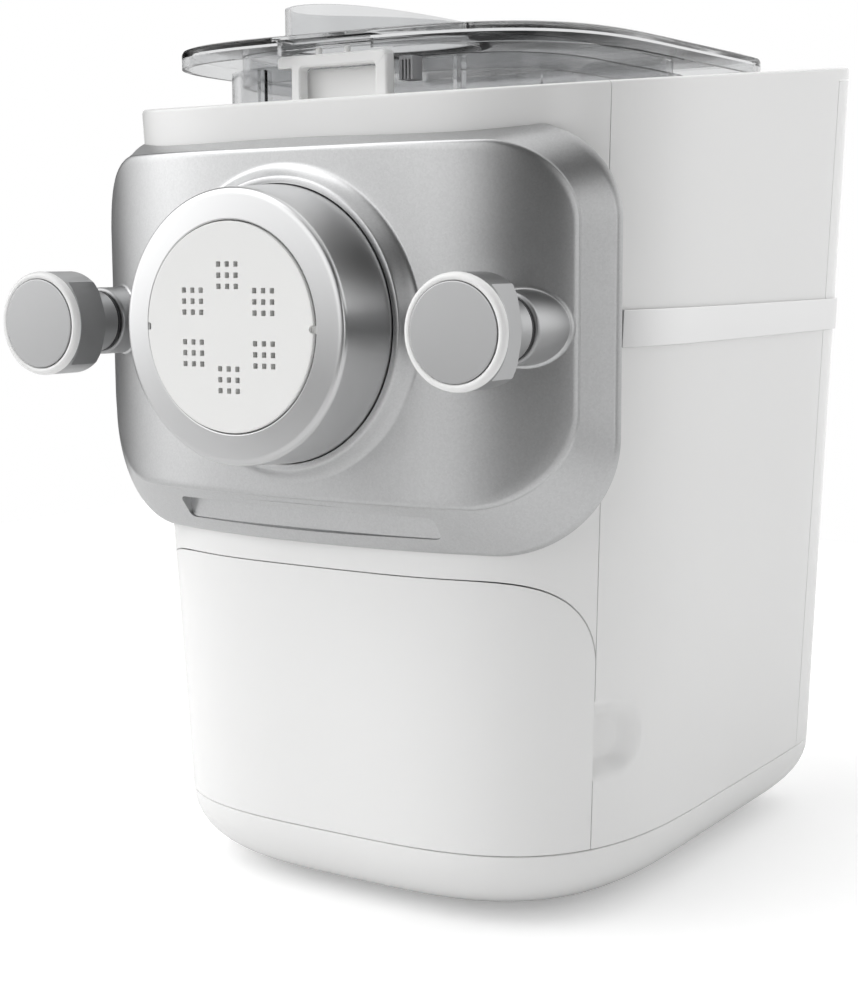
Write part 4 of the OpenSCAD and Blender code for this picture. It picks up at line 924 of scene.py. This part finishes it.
# ---- Chamber latch -----------------------------------------------------------------------------
# White frame that is pressed down to free the lid: a bar on two legs, with two sensing pins on top,
# in front of a fixed plate and a small ribbed catch.
latch_front, latch_thick, latch_top, latch_foot = -85.0, 5.0, 301.5, 269.55
latch_span, latch_leg, latch_bar = 46.0, 4.5, 4.2
plate_front, plate_span, plate_thick = -78.8, 29.0, 2.4
frame_height = latch_top - latch_foot
latch_loop = settle(moved(plate(latch_span, frame_height, latch_thick, 1.8), upright,
                          (0, latch_front + latch_thick, latch_foot + frame_height / 2)), "latch_loop")
opening_height = frame_height - latch_bar - 3
carve(latch_loop, moved(plate(31.5, opening_height, 12, 1.2), upright,
                        (2.5, latch_front + 9, latch_foot + 3 + opening_height / 2)))
carve(latch_loop, block((-30, -90, latch_foot + 6), (-17, -70, latch_top - latch_bar)))
finish_piece(latch_loop, "latch", white_gloss, ["latch_frame"], edge=0.7)
for x, pin_name in ((-6, "left"), (6, "right")):
    pin = settle(lathe([(0, -0.5), (1.1, -0.5), (1.1, 1.7), (0.8, 2.2), (0, 2.4)],
                       (x, latch_front + 1.6, latch_top), "Z", 32), "sensing_pin_" + pin_name)
    finish_piece(pin, "latch", satin_white)
plate_low, plate_high = latch_foot + 1, 297.0
latch_back = settle(moved(plate(plate_span, plate_high - plate_low, plate_thick, 1.4), upright,
                          (0, plate_front + plate_thick, (plate_low + plate_high) / 2)), "latch_back")
plate_foot = block((-plate_span / 2, plate_front + 1, plate_low), (plate_span / 2, -73.3, plate_low + 3))
carve(latch_back, plate_foot, "UNION")
finish_piece(latch_back, "housing", white_gloss, ["latch_plate"], edge=0.5)
catch = settle(block((24, -79, 291.5), (29.5, -72.7, 299.5)), "catch")
carve(catch, together([block((x, -80, 290), (x + 0.7, -77, 298.3)) for x in (25.1, 26.5, 27.9)]))
finish_piece(catch, "housing", rail_plastic, edge=0.3)

# ---- Lid ---------------------------------------------------------------------------------------
# Clear moulded lid with a deep rim, a slanting oval collar for pouring in the water, a plug that
# fits into the chamber, and a notch in the rim above the latch.
lid_low, lid_high, lid_wall = 301.5, 308.0, 2.2
lid_front, lid_back, lid_half = -90.0, 87.0, 91.0
pour_x, pour_y, pour_half, pour_depth = -8.0, -40.0, 41.0, 26.0
clear_lid = clear_moulding("clear_lid", (0.74, 0.745, 0.75), 1.25, 3)


def lid_ring(height, inset):
    plan = (lid_half - inset, lid_front + inset, lid_back - inset, 3.6, 12)
    return lambda turn: Vector((*squared_round(turn, *plan), height))


def pour_ring(height, inset):
    """Ring of the pour collar. Without a height it lies in the collar's slanting edge."""
    def place(turn):
        x = pour_x + (pour_half - inset) * math.cos(turn)
        edge = lid_high + 14.8 - 10 * max(0, (x + 49) / 82) ** 2
        return Vector((x, pour_y + (pour_depth - inset) * math.sin(turn), edge if height is None else height))
    return place


def lid_slope(share, height):
    """Ring between the lid's edge and its collar."""
    outer, inner = lid_ring(height, 1.5), pour_ring(height, -2)
    return lambda turn: outer(turn).lerp(inner(turn), share)


lid_under = lid_high - lid_wall
lid_shell = settle(stack([
    lid_ring(lid_low, 0),
    lid_ring(lid_high - 1.5, 0),
    lid_ring(lid_high - 0.45, 0.45),
    lid_ring(lid_high, 1.5),
    lid_slope(0.5, lid_high + 0.3),
    pour_ring(lid_high + 0.5, -2),
    pour_ring(lid_high + 0.9, -0.6),
    pour_ring(lid_high + 2, 0),
    pour_ring(None, 0),
    pour_ring(None, lid_wall),
    pour_ring(lid_under, lid_wall),
    lid_slope(0.5, lid_under),
    lid_ring(lid_under, lid_wall + 1),
    lid_ring(lid_under - 1, lid_wall),
    lid_ring(lid_low, lid_wall)], "joined"), "lid_shell")
plug_outer, plug_inner, plug_low = chamber_wall + 0.8, chamber_wall + 3.0, 295
plug = stack([chamber_ring(lid_under + 0.6, plug_outer), chamber_ring(plug_low, plug_outer),
              chamber_ring(plug_low, plug_inner), chamber_ring(lid_under + 0.6, plug_inner)], "joined")
carve(lid_shell, plug, "UNION")
carve(lid_shell, block((-19, lid_front - 5, lid_low - 1), (20, lid_front + 9, lid_high - 1.6)))
finish_piece(lid_shell, "chamber_lid", clear_lid, ["lid"], edge=0.3, steps=2)

# ---- Top deck and controls ---------------------------------------------------------------------
# White deck that closes the housing round the chamber, and behind it a dark glossy control panel
# with a display window, a start button and five smaller ones, each over a switch.
deck_inset, deck_drop, deck_thick = 3.3, 5.0, 3.0
panel_span, panel_reach, panel_thick = 150.0, 42.0, 3.0
panel_spot = Vector((0, 109, top_edge(109) - deck_drop + 0.35))
panel_tilt = Matrix.Rotation(math.atan(0.1), 4, "X")
program_x, start_x = (-62, -47, -32), 54
dark_gloss = moulded("dark_gloss", (0.022, 0.024, 0.026), 0.14, grain=0.02, grain_size=0.002, mottle=0.05)


def on_deck(bm):
    return moved(bm, panel_tilt, panel_spot)


deck = settle(stack([lambda t: rim_point(t, deck_drop + deck_thick, deck_inset),
                     lambda t: rim_point(t, deck_drop, deck_inset)]), "deck_plate")
carve(deck, stack([chamber_ring(250, -2), chamber_ring(340, -2)]))
leg_x = (latch_span - latch_leg) / 2
carve(deck, together([block((x - w / 2 - 0.3, y - 0.3, 260), (x + w / 2 + 0.3, y + t + 0.3, 330))
                      for x, w, y, t in ((-leg_x, latch_leg, latch_front, latch_thick),
                                         (leg_x, latch_leg, latch_front, latch_thick),
                                         (0, plate_span, plate_front, plate_thick))]))
carve(deck, on_deck(moved(plate(panel_span - 10, panel_reach - 7, 20, 4), (0, 0, -10))))
finish_piece(deck, "housing", white_gloss, ["top_deck"], edge=0.4)

key_radius = 5.5
buttons = [("start_key", "start_button", start_x, 0, 9.0)]
buttons += [("program_key_" + n, "program_button_" + n, x, -9, key_radius) for n, x in zip("123", program_x)]
buttons += [(n + "_key", n + "_button", x, 10, key_radius) for n, x in (("minus", -55), ("plus", -39))]
control_plate = moved(plate(panel_span, panel_reach, panel_thick, 5), (0, 0, 0.1))
control_face = settle(on_deck(control_plate), "control_face")
key_holes = together([round_tool((x, y, -2), r + 0.35, 10, "Z", 64) for _, _, x, y, r in buttons])
carve(control_face, on_deck(key_holes))
carve(control_face, on_deck(moved(plate(48, 20, 12, 1), (10, 0, -2))))
carve(control_face, on_deck(moved(plate(52, 24, 12, 1), (10, 0, 1.2))))
finish_piece(control_face, "housing", dark_gloss, ["control_fascia"], edge=0.4)
for body, node_name, x, y, r in buttons:
    key_profile = ((0, 3.8), (r * 0.6, 3.95), (r - 0.7, 4.2), (r - 0.25, 4.1), (r, 3.7), (r, -1),
                   (r + 1.2, -1), (r + 1.2, -2.4), (1.5, -2.4), (1.5, -6.8), (0, -6.8))
    cap = settle(on_deck(lathe(key_profile, (x, y, 0), "Z", 96)), node_name + "_cap")
    finish_piece(cap, body, satin_white, [node_name])
screen_glass = moulded("screen_glass", (0.01, 0.011, 0.012), 0.06, grain=0.01, grain_size=0.003, mottle=0.05)
dress(screen_glass, "display_window")

# ---- Frame, drive and electrics ----------------------------------------------------------------
# The parts inside the covers: a ribbed frame, gear motor, nylon gears on steel shafts, weighing beam,
# boards and transformer, and the washable mixing paddle, screw and tube.
frame_black = moulded("frame_black", (0.07, 0.07, 0.072), 0.5, grain=0.35, grain_size=0.0007, mottle=0.06)
gear_nylon = moulded("gear_nylon", (0.62, 0.60, 0.52), 0.42, grain=0.12, grain_size=0.0006, mottle=0.04)
cast_alloy = moulded("cast_alloy", (0.55, 0.55, 0.56), 0.45, grain=0.4, grain_size=0.0008, mottle=0.06,
                     metal=1)
motor_steel = moulded("motor_steel", (0.42, 0.43, 0.45), 0.33, grain=0.2, grain_size=0.0009, mottle=0.08,
                      metal=1, stretch=(1, 6, 1))
ground_steel = moulded("ground_steel", (0.66, 0.66, 0.68), 0.22, grain=0.15, grain_size=0.0005, mottle=0.04,
                       metal=1, stretch=(1, 0.1, 1))
board_green = moulded("board_green", (0.03, 0.13, 0.06), 0.35, grain=0.3, grain_size=0.0012, mottle=0.25)
copper_winding = moulded("copper_winding", (0.45, 0.2, 0.07), 0.35, grain=0.6, grain_size=0.0006, mottle=0.2,
                         stretch=(1, 1, 8))
dress(frame_black, "inner_frame", "gearbox_housing", "gearbox_cover", "motor_fan")
dress(gear_nylon, "intermediate_gear", "output_gear")
dress(cast_alloy, "load_cell", "extruder_tube")
dress(motor_steel, "motor_can")
dress(ground_steel, "armature_shaft", "motor_pinion", "drive_shaft", "bearings", "lock_rods")
dress(board_green, "main_board", "control_board")
dress(copper_winding, "transformer")
dress(satin_white, "mixing_paddle", "auger")
